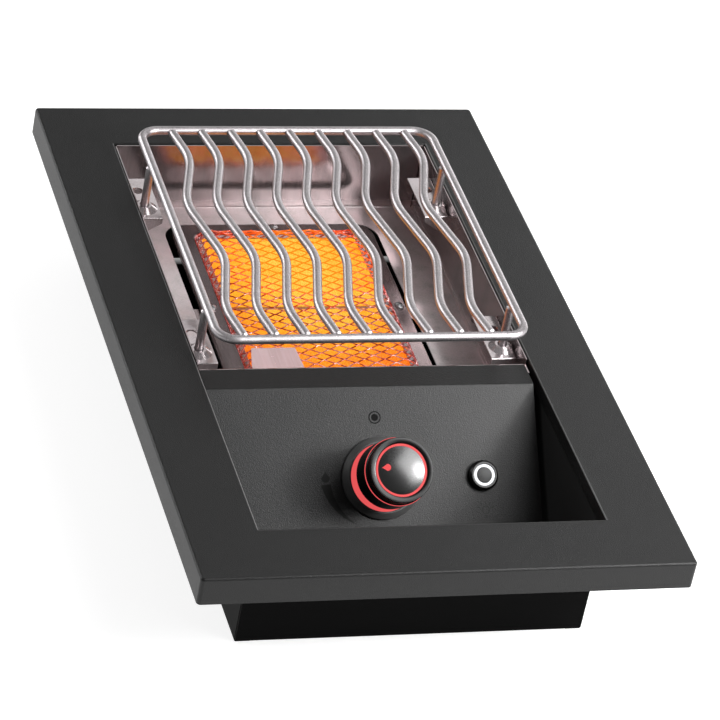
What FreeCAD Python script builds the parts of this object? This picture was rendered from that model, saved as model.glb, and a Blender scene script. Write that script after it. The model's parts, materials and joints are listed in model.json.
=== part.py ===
import FreeCAD, Part
import math
import os

# Built-in gas side burner. X is right, Y is back, Z is up, in millimetres.
# The origin is under the centre of the trim, level with the bottom of the housing.

# Overall sizes
TRIM_WIDTH = 368.0
TRIM_LENGTH = 597.0
HOUSING_DEPTH = 103.0

# Trim frame, a folded sheet that rests on the counter
TRIM_SHEET = 1.2
TRIM_BEND = 2.0
LIP_BEND = 1.5
TRIM_EDGE = 22.4
TRIM_RETURN = 10.0
TRIM_LIP = 12.0
TRIM_CORNER = 3.0
OPENING_CORNER = 0.8
SIDE_BORDER = 53.8
END_BORDER = 53.0

# Housing below the counter
HOUSING_SHEET = 1.0
HOUSING_FLANGE = 12.0
FOLD = 1.0
TAB_BELOW_TRIM = 15.0
TAB_GAP = 2.0
NOTCH_CLEARANCE = 0.5

# Stainless firebox, measured down from the top of the trim
LINER_SHEET = 0.8
LINER_SIDE_GAP = 1.7
LINER_TOP_DROP = 1.0
FIREBOX_DEPTH = 60.0
LINER_FLANGE = 12.0
LINER_SEAM = 0.8
CUTOUT_GAP = 5.0
CUTOUT_CORNER = 18.0
RAIL_LEG = 13.0
RAIL_END_GAP = 9.0

# Control panel: flat band, 45 degree face, floor and front flange. Its left end is close to the lip
PANEL_SHEET = 1.0
PANEL_LEFT = 129.0
PANEL_RIGHT = 126.3
PANEL_DROP = 3.3
BAND_DEPTH = 23.7
PANEL_BACK_FROM_FRONT = 192.5
PANEL_FLANGE = 17.0
PANEL_TO_FIREBOX = 3.5
PANEL_SHELF = 12.5
CONTROL_DROP = 69.0
SLOPE = 45.0

# Ceramic burner
TILE_WIDTH = 132.0
TILE_LENGTH = 92.0
TILE_THICKNESS = 13.0
TILE_GAP = 6.0
TILE_ABOVE_FLOOR = 6.0
GASKET = 2.0
TILE_OVERLAP = 2.0
BURNER_FORWARD = 1.6
PLENUM_SHEET = 0.8
PLENUM_STEP = 8.0
PLENUM_DEPTH = 25.0
PLENUM_CORNER = 8.0
TRAY_SHEET = 1.0
TRAY_SIDE = 18.0
TRAY_END = 23.0
TRAY_RISE = 3.5
TRAY_ABOVE_FLOOR = 7.5
TRAY_LIP = 4.0
TRAY_CORNER = 15.0
TRAY_BEND = 1.5
DIVIDER_FOOT = 14.0

# Raised diamond mesh over the tiles
MESH_SHEET = 0.8
MESH_SIDE = 3.4
MESH_END = 3.0
MESH_FLANK = 6.4
MESH_HEIGHT = 8.5
MESH_CORNER = 3.0
MESH_PITCH_X = 17.4
MESH_PITCH_Y = 10.4
MESH_STRAND = 1.5
MESH_COLUMNS = 7
MESH_ROWS = 17

# Straps and screws that carry the burner
STRAP_SHEET = 1.2
STRAP_WIDTH = 16.0
STRAP_INSET = 12.5
STRAP_RISER = 3.5
STRAP_REACH = 8.0
SCREW_INSET_SIDE = 7.0
SCREW_INSET_END = 8.4
SCREW_HEAD = 4.0
SCREW_HEAD_HEIGHT = 2.2
SCREW_SHANK = 2.0
SCREW_LENGTH = 6.0
SCREW_CLEARANCE = 0.3

# Igniter cover, electrode and its lead
COVER_SHEET = 0.8
COVER_BACK = 27.5
COVER_LEFT = 63.0
COVER_RIGHT = 28.0
COVER_SPREAD_LEFT = 5.0
COVER_SPREAD_RIGHT = 1.0
COVER_FRONT_INSET = 4.0
ELECTRODE_X = -45.0
ELECTRODE_INSET = 11.5
ELECTRODE_RADIUS = 1.2
ELECTRODE_BEND = 3.0
ELECTRODE_TIP = 14.0
INSULATOR_RADIUS = 4.5
INSULATOR_COLLAR = 6.0
INSULATOR_LENGTH = 24.0
LEAD_RADIUS = 2.0
LEAD_SWEEP = 12.0
LEAD_LOW = 10.0

# Gas path
MIXER_X = 38.0
MIXER_BELOW_LINER = 17.9
MIXER_RADIUS = 11.0
MIXER_WALL = 1.2
MIXER_INSIDE = 54.0
MOUTH_RADIUS = 15.0
MOUTH_LENGTH = 7.0
SHUTTER_WALL = 0.8
SHUTTER_LENGTH = 18.0
SHUTTER_GAP = 4.0
SHUTTER_WINDOWS = 4
SHUTTER_WINDOW_LENGTH = 9.0
SHUTTER_WINDOW_WIDTH = 12.0
JET_THREAD = 4.9
JET_HEX = 6.5
JET_HEX_LENGTH = 11.0
JET_NOSE = 6.0
JET_BORE = 0.55
GAS_TUBE_RADIUS = 4.0
GAS_TUBE_BEND = 10.0
INLET_PIPE_RADIUS = 6.0
INLET_PIPE_BEND = 10.0
INLET_X = -104.0
INLET_THREAD = 7.94
INLET_THREAD_LENGTH = 10.0
INLET_HEX = 10.0
INLET_HEX_LENGTH = 7.0
INLET_BORE = 4.5
INLET_BOTTOM = 3.0
BRACKET_SHEET = 1.5

# Gas valve, in the panel's own frame: x right, y up the slope, z out of the face
VALVE_X = 2.0
VALVE_RADIUS = 11.5
VALVE_FLANGE_LENGTH = 44.0
VALVE_FLANGE_WIDTH = 24.0
VALVE_FLANGE = 2.5
VALVE_CHAMBER = 8.3
VALVE_CHAMBER_DEPTH = 13.5
VALVE_INLET_DEPTH = 24.0
VALVE_BOSS_REACH = 20.0
VALVE_BOSS_RADIUS = 7.5
VALVE_TAIL = 8.5
STEM_RADIUS = 4.0
STEM_FLAT = 3.0
STEM_INSIDE = 30.0
STEM_OUTSIDE = 31.0
STEM_CLEARANCE = 0.1
COLLAR_RADIUS = 7.5
COLLAR_THICKNESS = 2.5
COLLAR_DEPTH = 10.5
STEM_HOLE = 9.0
PUSH_TRAVEL = 3.0

# Knob, measured out from the face of the panel
BEZEL_RADIUS = 31.0
BEZEL_EDGE = 2.4
BEZEL_HEIGHT = 6.4
BEZEL_INNER = 27.0
BEZEL_LAND = 0.4
BEZEL_FLOOR = 4.0
BEZEL_HOLE = 12.0
BEZEL_LIGHT_INNER = 15.0
BEZEL_LIGHT_TOP = 5.8
KNOB_RADIUS = 25.3
KNOB_WALL = 2.5
KNOB_BOTTOM = 18.0
KNOB_SHOULDER = 38.6
KNOB_WEB = 4.0
KNOB_HUB = 9.0
KNOB_HUB_BOTTOM = 8.0
SIDE_LIGHT_RADIUS = 25.7
SIDE_LIGHT_INNER = 21.9
SIDE_LIGHT_TOP = 40.0
CAP_RADIUS = 24.3
CAP_TOP = 47.4
CAP_RECESS = 46.0
FACE_RING_OUTER = 20.1
FACE_RING_INNER = 17.9
FACE_RING_TOP = 48.2
FACE_TOP = 51.0
RIM_TOP = 49.0
RIM_CHAMFER = 0.5
LIGHT_GAP = 0.1

# Push button
BUTTON_X = 81.0
BUTTON_FLANGE = 11.5
BUTTON_EDGE = 3.2
BUTTON_HEIGHT = 5.2
BUTTON_CHAMFER = 1.6
BUTTON_BARREL = 9.4
BUTTON_DEPTH = 30.0
BUTTON_HOLE_GAP = 0.2
BUTTON_CAP = 5.5
BUTTON_CAP_TOP = 5.4
BUTTON_CAP_DEPTH = 6.0
BUTTON_TRAVEL = 1.5
BUTTON_CLEARANCE = 0.3
BUTTON_LIGHT = 8.5
BUTTON_LIGHT_FLOOR = 3.4
BUTTON_LIGHT_TOP = 5.6
BUTTON_NUT = 13.0
BUTTON_NUT_HEIGHT = 3.0

# Wire grate
GRATE_RISE = 30.0
RAIL_WIRE = 3.5
ROD_WIRE = 3.5
LEG_WIRE = 3.25
GRATE_SIDE_INSET = 10.2
GRATE_FRONT_OVERHANG = 12.0
GRATE_BACK_INSET = 25.2
GRATE_CORNER = 15.0
ROD_COUNT = 9
CREST_OFFSETS = (-9.25, 3.75, -7.4, 7.3)
WAVE_RADIUS = 64.0
FIRST_CREST = 37.5
LAST_CREST = 37.0
ROD_END_ANGLE = 10.0
WELD_SEAT = 1.0
WIRE_CHAMFER = 1.2
LEG_CHAMFER = 2.3

# Ledges for the grate legs
LEDGE_DROP = 11.8
LEDGE_SHEET = 1.2
LEDGE_INNER = 12.0
LEDGE_FRONT = 15.0
LEDGE_BACK = 41.5
LEDGE_HEIGHT = 18.0
LEDGE_FLANGE = 5.0
LEDGE_ROUND = 1.1
GUSSET_ROUND = 1.0
BOSS_BASE = 10.5
BOSS_TOP = 5.6
BOSS_HEIGHT = 3.2
BOSS_TO_WALL = 1.0
LEG_CLEARANCE = 0.6
LEDGE_HOLE = 4.5
LEDGE_HOLE_BACK = 23.5
FRONT_LEG_BACK = 43.0
REAR_LEG_FORWARD = 46.0

# Spark module on the left wall
MODULE_THICKNESS = 22.0
MODULE_LENGTH = 36.0
MODULE_HEIGHT = 27.0
MODULE_DROP = 31.0
MODULE_FROM_FIREBOX = 2.0
MODULE_ROUND = 2.0

# Sheet metal screws of the case
CASE_HEAD = 3.6
CASE_HEAD_HEIGHT = 1.8
CASE_SHANK = 1.7
CASE_SHANK_LENGTH = 6.0
TAB_SCREW_INSET = 7.0

# Levels and faces worked out from the sizes above
V = FreeCAD.Vector
UP = V(0, 0, 1)
TOP = HOUSING_DEPTH
OPEN_X = TRIM_WIDTH / 2 - SIDE_BORDER
OPEN_Y = TRIM_LENGTH / 2 - END_BORDER
WALL_X = OPEN_X + TRIM_SHEET
WALL_Y = OPEN_Y - HOUSING_SHEET
WALL_TOP = TOP - LIP_BEND
LINER_X = OPEN_X - LINER_SIDE_GAP
LINER_BACK = WALL_Y - LINER_SHEET
LINER_TOP = TOP - LINER_TOP_DROP
FLOOR_TOP = TOP - FIREBOX_DEPTH
FLOOR_UNDER = FLOOR_TOP - LINER_SHEET
FLANGE_UNDER = FLOOR_UNDER - LINER_SHEET
BAND_TOP = TOP - PANEL_DROP
PANEL_BACK = -OPEN_Y + PANEL_BACK_FROM_FRONT
PANEL_FOLD = PANEL_BACK - BAND_DEPTH
LINER_FRONT = PANEL_BACK + PANEL_TO_FIREBOX
BURNER_Y = (LINER_FRONT + LINER_BACK) / 2 - BURNER_FORWARD
TILE_TOP = FLOOR_TOP + TILE_ABOVE_FLOOR
TILE_UNDER = TILE_TOP - TILE_THICKNESS
TILES_X = TILE_WIDTH / 2
TILES_Y = TILE_LENGTH + TILE_GAP / 2
TRAY_TOP = FLOOR_TOP + TRAY_ABOVE_FLOOR
TRAY_EDGE = TRAY_TOP - TRAY_RISE
TRAY_X = TILES_X + TRAY_SIDE
TRAY_Y = TILES_Y + TRAY_END
MESH_X = TILES_X + MESH_SIDE
MESH_Y = TILES_Y + MESH_END
MESH_TOP = TRAY_TOP + MESH_HEIGHT
PLENUM_BOTTOM = TILE_UNDER - PLENUM_DEPTH
PLENUM_X = TILES_X + GASKET
PLENUM_Y = TILES_Y + GASKET
MIXER_Z = FLANGE_UNDER - MIXER_BELOW_LINER
PLENUM_FRONT = BURNER_Y - (PLENUM_Y - PLENUM_STEP + PLENUM_SHEET)
MIXER_MOUTH = LINER_FRONT - LINER_SHEET - SHUTTER_GAP
ELECTRODE_Y = BURNER_Y - TRAY_Y + ELECTRODE_INSET
RING_Z = TOP + GRATE_RISE
RING_X = OPEN_X - GRATE_SIDE_INSET
RING_FRONT = LINER_FRONT - GRATE_FRONT_OVERHANG
RING_BACK = LINER_BACK - GRATE_BACK_INSET
FRONT_LEG_Y = RING_FRONT + FRONT_LEG_BACK
REAR_LEG_Y = RING_BACK - REAR_LEG_FORWARD
LEDGE_TOP = TOP - LEDGE_DROP
FRONT_TAB = (HOUSING_SHEET + PANEL_FLANGE + TAB_GAP, TOP - TAB_BELOW_TRIM)
BACK_TAB = (HOUSING_FLANGE, FLANGE_UNDER - TAB_GAP)


# General shapes

def rounded_loop(points, radii, place):
    """Closed wire through flat points, each corner rounded by its own radius."""
    edges = []
    count = len(points)
    starts, ends, mids = [], [], []
    for i in range(count):
        here = V(points[i][0], points[i][1], 0)
        back = V(points[i - 1][0], points[i - 1][1], 0) - here
        ahead = V(points[(i + 1) % count][0], points[(i + 1) % count][1], 0) - here
        back.normalize()
        ahead.normalize()
        if radii[i] <= 0:
            starts.append(here)
            ends.append(here)
            mids.append(None)
            continue
        half = back.getAngle(ahead) / 2
        reach = radii[i] / math.tan(half)
        middle = back + ahead
        middle.normalize()
        starts.append(here + back * reach)
        ends.append(here + ahead * reach)
        mids.append(here + middle * (radii[i] / math.sin(half) - radii[i]))
    for i in range(count):
        if mids[i] is not None:
            edges.append(Part.Arc(place(starts[i]), place(mids[i]), place(ends[i])).toShape())
        following = starts[(i + 1) % count]
        if (following - ends[i]).Length > 1e-6:
            edges.append(Part.LineSegment(place(ends[i]), place(following)).toShape())
    return Part.Wire(edges)


def flat_wire(half_x, half_y, radius, z, centre_y=0.0):
    """Rounded rectangle at height z."""
    corners = [(-half_x, centre_y - half_y), (half_x, centre_y - half_y),
               (half_x, centre_y + half_y), (-half_x, centre_y + half_y)]
    return rounded_loop(corners, [radius] * 4, lambda p: V(p.x, p.y, z))


def slab(half_x, half_y, radius, z0, z1, centre_y=0.0):
    """Rounded rectangular block between two heights."""
    face = Part.Face(flat_wire(half_x, half_y, radius, z0, centre_y))
    return face.extrude(UP * (z1 - z0))


def hopper(low, high, centre_y):
    """Straight sided loft between two rounded rectangles (half x, half y, radius, z)."""
    wires = [flat_wire(*size, centre_y) for size in (low, high)]
    return Part.makeLoft(wires, True, True)


def block(x0, x1, y0, y1, z0, z1):
    """Plain rectangular block."""
    return Part.makeBox(x1 - x0, y1 - y0, z1 - z0, V(x0, y0, z0))


def folded(path, sheet, place, sweep, fold=FOLD):
    """Sheet folded along a flat path, on the left of its direction, then drawn out by sweep.

    The inside of each fold has the radius fold, and a fold of zero leaves both sides sharp.
    """
    side = []
    count = len(path)
    lines = []
    for i in range(count - 1):
        start = V(path[i][0], path[i][1], 0)
        run = V(path[i + 1][0], path[i + 1][1], 0) - start
        run.normalize()
        lines.append((start, run, V(-run.y, run.x, 0)))
    radii_near = [0.0] * count
    radii_far = [0.0] * count
    for i in range(count):
        before = lines[max(i - 1, 0)]
        after = lines[min(i, count - 2)]
        here = V(path[i][0], path[i][1], 0)
        normal = before[2] + after[2]
        normal.normalize()
        side.append(here + normal * (sheet / normal.dot(after[2])))
        turn = before[1].x * after[1].y - before[1].y * after[1].x
        if fold > 0 and 0 < i < count - 1:
            inner, outer = (radii_far, radii_near) if turn > 0 else (radii_near, radii_far)
            inner[i] = fold
            outer[i] = fold + sheet
    outline = list(path) + [(p.x, p.y) for p in reversed(side)]
    radii = radii_near + list(reversed(radii_far))
    return Part.Face(rounded_loop(outline, radii, place)).extrude(sweep)


def in_yz(x):
    """Places a flat outline in the Y-Z plane at x."""
    return lambda p: V(x, p.x, p.y)


def in_xz(y):
    """Places a flat outline in the X-Z plane at y."""
    return lambda p: V(p.x, y, p.y)


def in_xy(z):
    """Places a flat outline in the X-Y plane at z."""
    return lambda p: V(p.x, p.y, z)


def turned(section):
    """Solid of revolution about Z from (radius, height) points."""
    wire = Part.makePolygon([V(r, 0, z) for r, z in section + [section[0]]])
    return Part.Face(wire).revolve(V(0, 0, 0), UP, 360)


def wire_along(points, radii, wire_radius):
    """Round wire or tube body along straight runs joined by tangent arcs."""
    edges = []
    last = points[0]
    for i in range(1, len(points) - 1):
        back = (points[i - 1] - points[i]).normalize()
        ahead = (points[i + 1] - points[i]).normalize()
        half = back.getAngle(ahead) / 2
        reach = radii[i - 1] / math.tan(half)
        middle = (back + ahead).normalize()
        start = points[i] + back * reach
        mid = points[i] + middle * (radii[i - 1] / math.sin(half) - radii[i - 1])
        end = points[i] + ahead * reach
        edges.append(Part.LineSegment(last, start).toShape())
        edges.append(Part.Arc(start, mid, end).toShape())
        last = end
    edges.append(Part.LineSegment(last, points[-1]).toShape())
    return swept(edges, wire_radius)


def swept(edges, wire_radius):
    """Round bar along a chain of tangent lines and arcs."""
    pieces = []
    for edge in edges:
        start = edge.valueAt(edge.FirstParameter)
        heading = edge.tangentAt(edge.FirstParameter)
        disc = Part.Face(Part.Wire(Part.makeCircle(wire_radius, start, heading)))
        if isinstance(edge.Curve, Part.Circle):
            angle = math.degrees(edge.LastParameter - edge.FirstParameter)
            pieces.append(disc.revolve(edge.Curve.Center, edge.Curve.Axis, angle))
        else:
            pieces.append(disc.extrude(edge.valueAt(edge.LastParameter) - start))
    return pieces[0].multiFuse(pieces[1:])


def bar(radius, start, end):
    """Round bar between two points."""
    return Part.makeCylinder(radius, (end - start).Length, start, end - start)


def hexagon(radius, start, end):
    """Hexagonal bar between two points, radius to its corners."""
    length = (end - start).Length
    corners = [V(radius * math.cos(math.radians(a)), radius * math.sin(math.radians(a)), 0)
               for a in range(0, 361, 60)]
    prism = Part.Face(Part.makePolygon(corners)).extrude(UP * length)
    prism.Placement = FreeCAD.Placement(start, FreeCAD.Rotation(UP, end - start))
    return prism


def level_edges(shape, z):
    """Edges that lie flat at a height."""
    return [e for e in shape.Edges if all(abs(v.Z - z) < 1e-6 for v in e.Vertexes)]


def mirrored(shape):
    """The same shape on the other side of the centre plane."""
    return shape.mirror(V(0, 0, 0), V(1, 0, 0))


def on_panel(shape, x):
    """Moves a shape from its own frame to the 45 degree face, at x along it."""
    lean = math.radians(SLOPE)
    foot = V(x, PANEL_FOLD - CONTROL_DROP * math.cos(lean), BAND_TOP - CONTROL_DROP * math.sin(lean))
    shape.Placement = FreeCAD.Placement(foot, FreeCAD.Rotation(V(1, 0, 0), SLOPE))
    return shape


def panel_point(x, out):
    """World point on a control's axis, a distance out from the panel's face."""
    lean = math.radians(SLOPE)
    along = CONTROL_DROP
    return V(x, PANEL_FOLD - along * math.cos(lean) - out * math.sin(lean),
             BAND_TOP - along * math.sin(lean) + out * math.cos(lean))


# Trim frame and housing

def trim_frame():
    """Sheet frame with a down-turned edge, its return, and a lip folded into the opening."""
    half_x, half_y = TRIM_WIDTH / 2, TRIM_LENGTH / 2
    bottom = TOP - TRIM_EDGE

    def layer(inset, z0, z1):
        body = slab(half_x - inset, half_y - inset, TRIM_CORNER - inset, z0, z1)
        body = body.makeFillet(TRIM_BEND - inset, level_edges(body, z1))
        reach_x, reach_y = OPEN_X + inset, OPEN_Y + inset
        body = body.cut(slab(reach_x, reach_y, OPENING_CORNER + inset, z0 - 1, z1 + 1))
        lip = [e for e in level_edges(body, z1)
               if abs(e.CenterOfMass.x) < reach_x + 1e-6 and abs(e.CenterOfMass.y) < reach_y + 1e-6]
        return body.makeFillet(LIP_BEND - inset, lip)

    shell = layer(0.0, bottom, TOP)
    shell = shell.cut(layer(TRIM_SHEET, bottom - 1, TOP - TRIM_SHEET))
    below_lip = slab(OPEN_X + 2 * TRIM_SHEET, OPEN_Y + 2 * TRIM_SHEET, OPENING_CORNER,
                     bottom - 1, TOP - TRIM_LIP)
    shell = shell.cut(below_lip)
    returned = slab(half_x, half_y, TRIM_CORNER, bottom, bottom + TRIM_SHEET)
    inner = TRIM_RETURN
    returned = returned.cut(slab(half_x - inner, half_y - inner, OPENING_CORNER,
                                 bottom - 1, bottom + TRIM_SHEET + 1))
    return shell.fuse(returned).removeSplitter()


def case_screw_places():
    """Points of the screws through the back wall into the side walls' tabs."""
    tab_x = WALL_X - HOUSING_FLANGE / 2
    levels = (BACK_TAB[0] + TAB_SCREW_INSET, BACK_TAB[1] - TAB_SCREW_INSET)
    return [V(x, OPEN_Y, level) for x in (-tab_x, tab_x) for level in levels]


def drilled(shape):
    """Cuts the case screws' holes."""
    for point in case_screw_places():
        hole = bar(CASE_SHANK + SCREW_CLEARANCE / 2, point + V(0, 1, 0), point - V(0, CASE_SHANK_LENGTH, 0))
        if shape.BoundBox.intersect(hole.BoundBox):
            shape = shape.cut(hole)
    return shape


def housing_side():
    """Right wall: outside the trim's lip, with a bottom flange and two end tabs."""
    outer = WALL_X + HOUSING_SHEET
    wall = folded([(outer, WALL_TOP), (outer, 0), (outer - HOUSING_FLANGE, 0)][::-1],
                  HOUSING_SHEET, in_xz(-OPEN_Y + HOUSING_SHEET),
                  V(0, 2 * (OPEN_Y - HOUSING_SHEET), 0))
    for side, (low, high) in ((-1, FRONT_TAB), (1, BACK_TAB)):
        end = side * WALL_Y
        path = [(outer, end - side * HOUSING_FLANGE), (outer, end), (outer - HOUSING_FLANGE, end)]
        if side < 0:
            path = path[::-1]
        wall = wall.fuse(folded(path, HOUSING_SHEET, in_xy(low), UP * (high - low)))
    return drilled(wall.removeSplitter())


def housing_end(side):
    """Front or back wall: inside the trim's lip, notched at the top, with a bottom flange."""
    outer = side * OPEN_Y
    path = [(outer, WALL_TOP), (outer, 0), (outer - side * HOUSING_FLANGE, 0)]
    if side > 0:
        path = path[::-1]
    wall = folded(path, HOUSING_SHEET, in_yz(-WALL_X), V(2 * WALL_X, 0, 0))
    notch_x = OPEN_X - OPENING_CORNER - NOTCH_CLEARANCE
    for x in (-WALL_X - 1, notch_x):
        width = WALL_X + 1 - notch_x
        wall = wall.cut(block(x, x + width, outer - 2, outer + 2, TOP - TRIM_LIP - NOTCH_CLEARANCE, TOP))
    # The bottom flange stops short of the side walls' own flanges
    inside = sorted((outer - side * HOUSING_SHEET, outer - side * (HOUSING_FLANGE + 1)))
    corner = HOUSING_FLANGE - HOUSING_SHEET + NOTCH_CLEARANCE
    for x in (-WALL_X - 1, WALL_X - corner):
        wall = wall.cut(block(x, x + corner + 1, inside[0], inside[1], -1, HOUSING_SHEET + 1))
    return drilled(wall)


def case_screws():
    """Pan head screws through the back wall."""
    section = [(0, -CASE_SHANK_LENGTH), (CASE_SHANK, -CASE_SHANK_LENGTH), (CASE_SHANK, 0),
               (CASE_HEAD, 0), (CASE_HEAD - CASE_HEAD_HEIGHT / 2, CASE_HEAD_HEIGHT), (0, CASE_HEAD_HEIGHT)]
    screws = []
    for point in case_screw_places():
        screw = turned(section)
        screw.Placement = FreeCAD.Placement(point, FreeCAD.Rotation(UP, V(0, 1, 0)))
        screws.append(screw)
    return Part.makeCompound(screws)


# Firebox

def firebox_side():
    """Right liner wall with a flange turned in under the floor."""
    outer = LINER_X + LINER_SHEET
    path = [(outer - LINER_FLANGE, FLANGE_UNDER), (outer, FLANGE_UNDER), (outer, LINER_TOP)]
    length = LINER_BACK - LINER_SEAM - LINER_FRONT
    wall = folded(path, LINER_SHEET, in_xz(LINER_FRONT), V(0, length, 0))
    reach = LINER_FLANGE + LINER_SEAM
    for y in (LINER_FRONT - 1, LINER_BACK - reach):
        wall = wall.cut(block(LINER_X - LINER_FLANGE - 1, LINER_X - FOLD, y, y + reach + 1,
                              FLANGE_UNDER - 1, FLOOR_UNDER + 0.01))
    return wall


def firebox_end(path):
    """Front or back liner wall from its folded path."""
    half = LINER_X - NOTCH_CLEARANCE
    return folded(path, LINER_SHEET, in_yz(-half), V(2 * half, 0, 0))


def clear_corners(wall, y0, y1):
    """Takes the corners off an end wall's bottom flange, where the side flanges run."""
    start = LINER_X + LINER_SHEET - LINER_FLANGE - NOTCH_CLEARANCE
    for x in (-LINER_X - 1, start):
        wall = wall.cut(block(x, x + LINER_X + 1 - start, y0, y1, FLANGE_UNDER - 1, FLOOR_UNDER + 0.01))
    return wall


def firebox_front():
    """Front liner wall: a shelf under the panel's band and a flange under the floor."""
    shelf = BAND_TOP - PANEL_SHEET
    path = [(LINER_FRONT + LINER_FLANGE, FLOOR_UNDER), (LINER_FRONT, FLOOR_UNDER),
            (LINER_FRONT, shelf), (LINER_FRONT - PANEL_SHELF, shelf)]
    wall = firebox_end(path)
    return clear_corners(wall, LINER_FRONT + FOLD, LINER_FRONT + LINER_FLANGE + 1)


def firebox_back():
    """Back liner wall, flat against the housing."""
    path = [(WALL_Y, LINER_TOP), (WALL_Y, FLANGE_UNDER), (WALL_Y - LINER_FLANGE, FLANGE_UNDER)]
    wall = firebox_end(path[::-1])
    return clear_corners(wall, LINER_BACK - LINER_FLANGE - 1, LINER_BACK - FOLD)


def firebox_floor():
    """Floor with a rounded cut-out for the burner."""
    back, front = LINER_BACK - FOLD - NOTCH_CLEARANCE, LINER_FRONT + FOLD + NOTCH_CLEARANCE
    side = LINER_X - FOLD
    floor = block(-side, side, front, back, FLOOR_UNDER, FLOOR_TOP)
    return floor.cut(slab(TRAY_X + CUTOUT_GAP, TRAY_Y + CUTOUT_GAP, CUTOUT_CORNER,
                          FLOOR_UNDER - 1, FLOOR_TOP + 1, BURNER_Y))


def firebox_rail():
    """Right angle rail on the housing wall that the firebox stands on."""
    top = FLANGE_UNDER
    path = [(WALL_X, top - RAIL_LEG), (WALL_X, top), (WALL_X - HOUSING_FLANGE, top)]
    start = LINER_FRONT + RAIL_END_GAP
    return folded(path, HOUSING_SHEET, in_xz(start), V(0, LINER_BACK - RAIL_END_GAP - start, 0))


# Ledges that the grate stands on

def ledge(leg_y):
    """Right ledge: folded plate on the liner wall, gusset ends, a raised collar and a hole."""
    inner = RING_X - LEDGE_INNER
    front, back = leg_y - LEDGE_FRONT, leg_y + LEDGE_BACK
    path = [(LINER_X, LEDGE_TOP - LEDGE_HEIGHT), (LINER_X, LEDGE_TOP), (inner, LEDGE_TOP)]
    plate = folded(path, LEDGE_SHEET, in_xz(front), V(0, back - front, 0))
    for y in (front, back - LEDGE_SHEET):
        wall, shelf = LINER_X - LEDGE_SHEET / 2, LEDGE_TOP - LEDGE_SHEET / 2
        corners = [(inner, shelf), (wall, shelf),
                   (wall, LEDGE_TOP - LEDGE_HEIGHT), (inner, LEDGE_TOP - LEDGE_FLANGE)]
        gusset = Part.Face(rounded_loop(corners, [0, 0, 0, GUSSET_ROUND], in_xz(y)))
        plate = plate.fuse(gusset.extrude(V(0, LEDGE_SHEET, 0)))
    boss = Part.makeCone(BOSS_BASE, BOSS_TOP, BOSS_HEIGHT, V(RING_X, leg_y, LEDGE_TOP))
    boss_top = LEDGE_TOP + BOSS_HEIGHT
    boss = boss.common(block(inner, LINER_X - BOSS_TO_WALL, front, back, LEDGE_TOP, boss_top))
    boss = boss.cut(bar(LEG_WIRE + LEG_CLEARANCE, V(RING_X, leg_y, LEDGE_TOP), V(RING_X, leg_y, TOP)))
    hole_y = leg_y + LEDGE_HOLE_BACK
    hole = bar(LEDGE_HOLE, V(RING_X, hole_y, LEDGE_TOP - LEDGE_FLANGE), V(RING_X, hole_y, TOP))
    shape = plate.fuse(boss).cut(hole).removeSplitter()
    # The two end folds are rounded over
    for outer, inward in ((front, 1), (back, -1)):
        axis_y = outer + inward * LEDGE_ROUND
        y0, y1 = sorted((outer - inward, axis_y))
        corner = block(inner - 1, LINER_X + 1, y0, y1, LEDGE_TOP - LEDGE_ROUND, LEDGE_TOP + 1)
        corner = corner.cut(bar(LEDGE_ROUND, V(inner - 2, axis_y, LEDGE_TOP - LEDGE_ROUND),
                                V(LINER_X + 2, axis_y, LEDGE_TOP - LEDGE_ROUND)))
        shape = shape.cut(corner)
    return shape


# Control panel

def control_panel():
    """Folded panel: front flange, recess floor, 45 degree face and flat band."""
    under = BAND_TOP - PANEL_SHEET
    floor_under = HOUSING_SHEET
    lean = math.radians(SLOPE)
    # The underside of the face, set back by the sheet along the slope's normal
    fold_y = PANEL_FOLD + PANEL_SHEET * math.tan(lean / 2)
    foot_y = fold_y - (under - floor_under) / math.tan(lean)
    front = -WALL_Y
    path = [(front, floor_under + PANEL_FLANGE), (front, floor_under), (foot_y, floor_under),
            (fold_y, under), (PANEL_BACK, under)]
    panel = folded(path, PANEL_SHEET, in_yz(-PANEL_LEFT), V(PANEL_LEFT + PANEL_RIGHT, 0, 0))
    stem_hole = on_panel(Part.makeCylinder(STEM_HOLE, 6, V(0, 0, -3)), VALVE_X)
    button_hole = on_panel(Part.makeCylinder(BUTTON_BARREL + BUTTON_HOLE_GAP, 6, V(0, 0, -3)), BUTTON_X)
    return panel.cut(stem_hole).cut(button_hole)


# Burner

def burner_tray():
    """Tray that slopes up to the mesh, with a rounded lip and an opening over the tiles."""
    low, flat = TRAY_EDGE, TRAY_TOP
    shoulder = (TRAY_X - TRAY_BEND, TRAY_Y - TRAY_BEND, TRAY_CORNER - TRAY_BEND, low)
    body = hopper(shoulder, (MESH_X, MESH_Y, MESH_CORNER, flat), BURNER_Y)
    body = body.fuse(hopper((TRAY_X, TRAY_Y, TRAY_CORNER, low - TRAY_BEND), shoulder, BURNER_Y))
    body = body.fuse(slab(TRAY_X, TRAY_Y, TRAY_CORNER, low - TRAY_LIP, low - TRAY_BEND, BURNER_Y))
    inset = TRAY_SHEET
    hollow = hopper((TRAY_X - inset, TRAY_Y - inset, TRAY_CORNER - inset, low - inset),
                    (MESH_X, MESH_Y, MESH_CORNER, flat - inset), BURNER_Y)
    hollow = hollow.fuse(slab(TRAY_X - inset, TRAY_Y - inset, TRAY_CORNER - inset,
                              low - TRAY_LIP - 1, low - inset, BURNER_Y))
    window = slab(TILES_X - TILE_OVERLAP, TILES_Y - TILE_OVERLAP, MESH_CORNER, low, flat + 1, BURNER_Y)
    tray = body.cut(hollow).cut(window)
    passage = bar(INSULATOR_RADIUS + SCREW_CLEARANCE, V(ELECTRODE_X, ELECTRODE_Y, low - TRAY_LIP),
                  V(ELECTRODE_X, ELECTRODE_Y, flat + 1))
    tray = tray.cut(passage)
    for hole in strap_screw_holes():
        tray = tray.cut(hole)
    return tray


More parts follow.
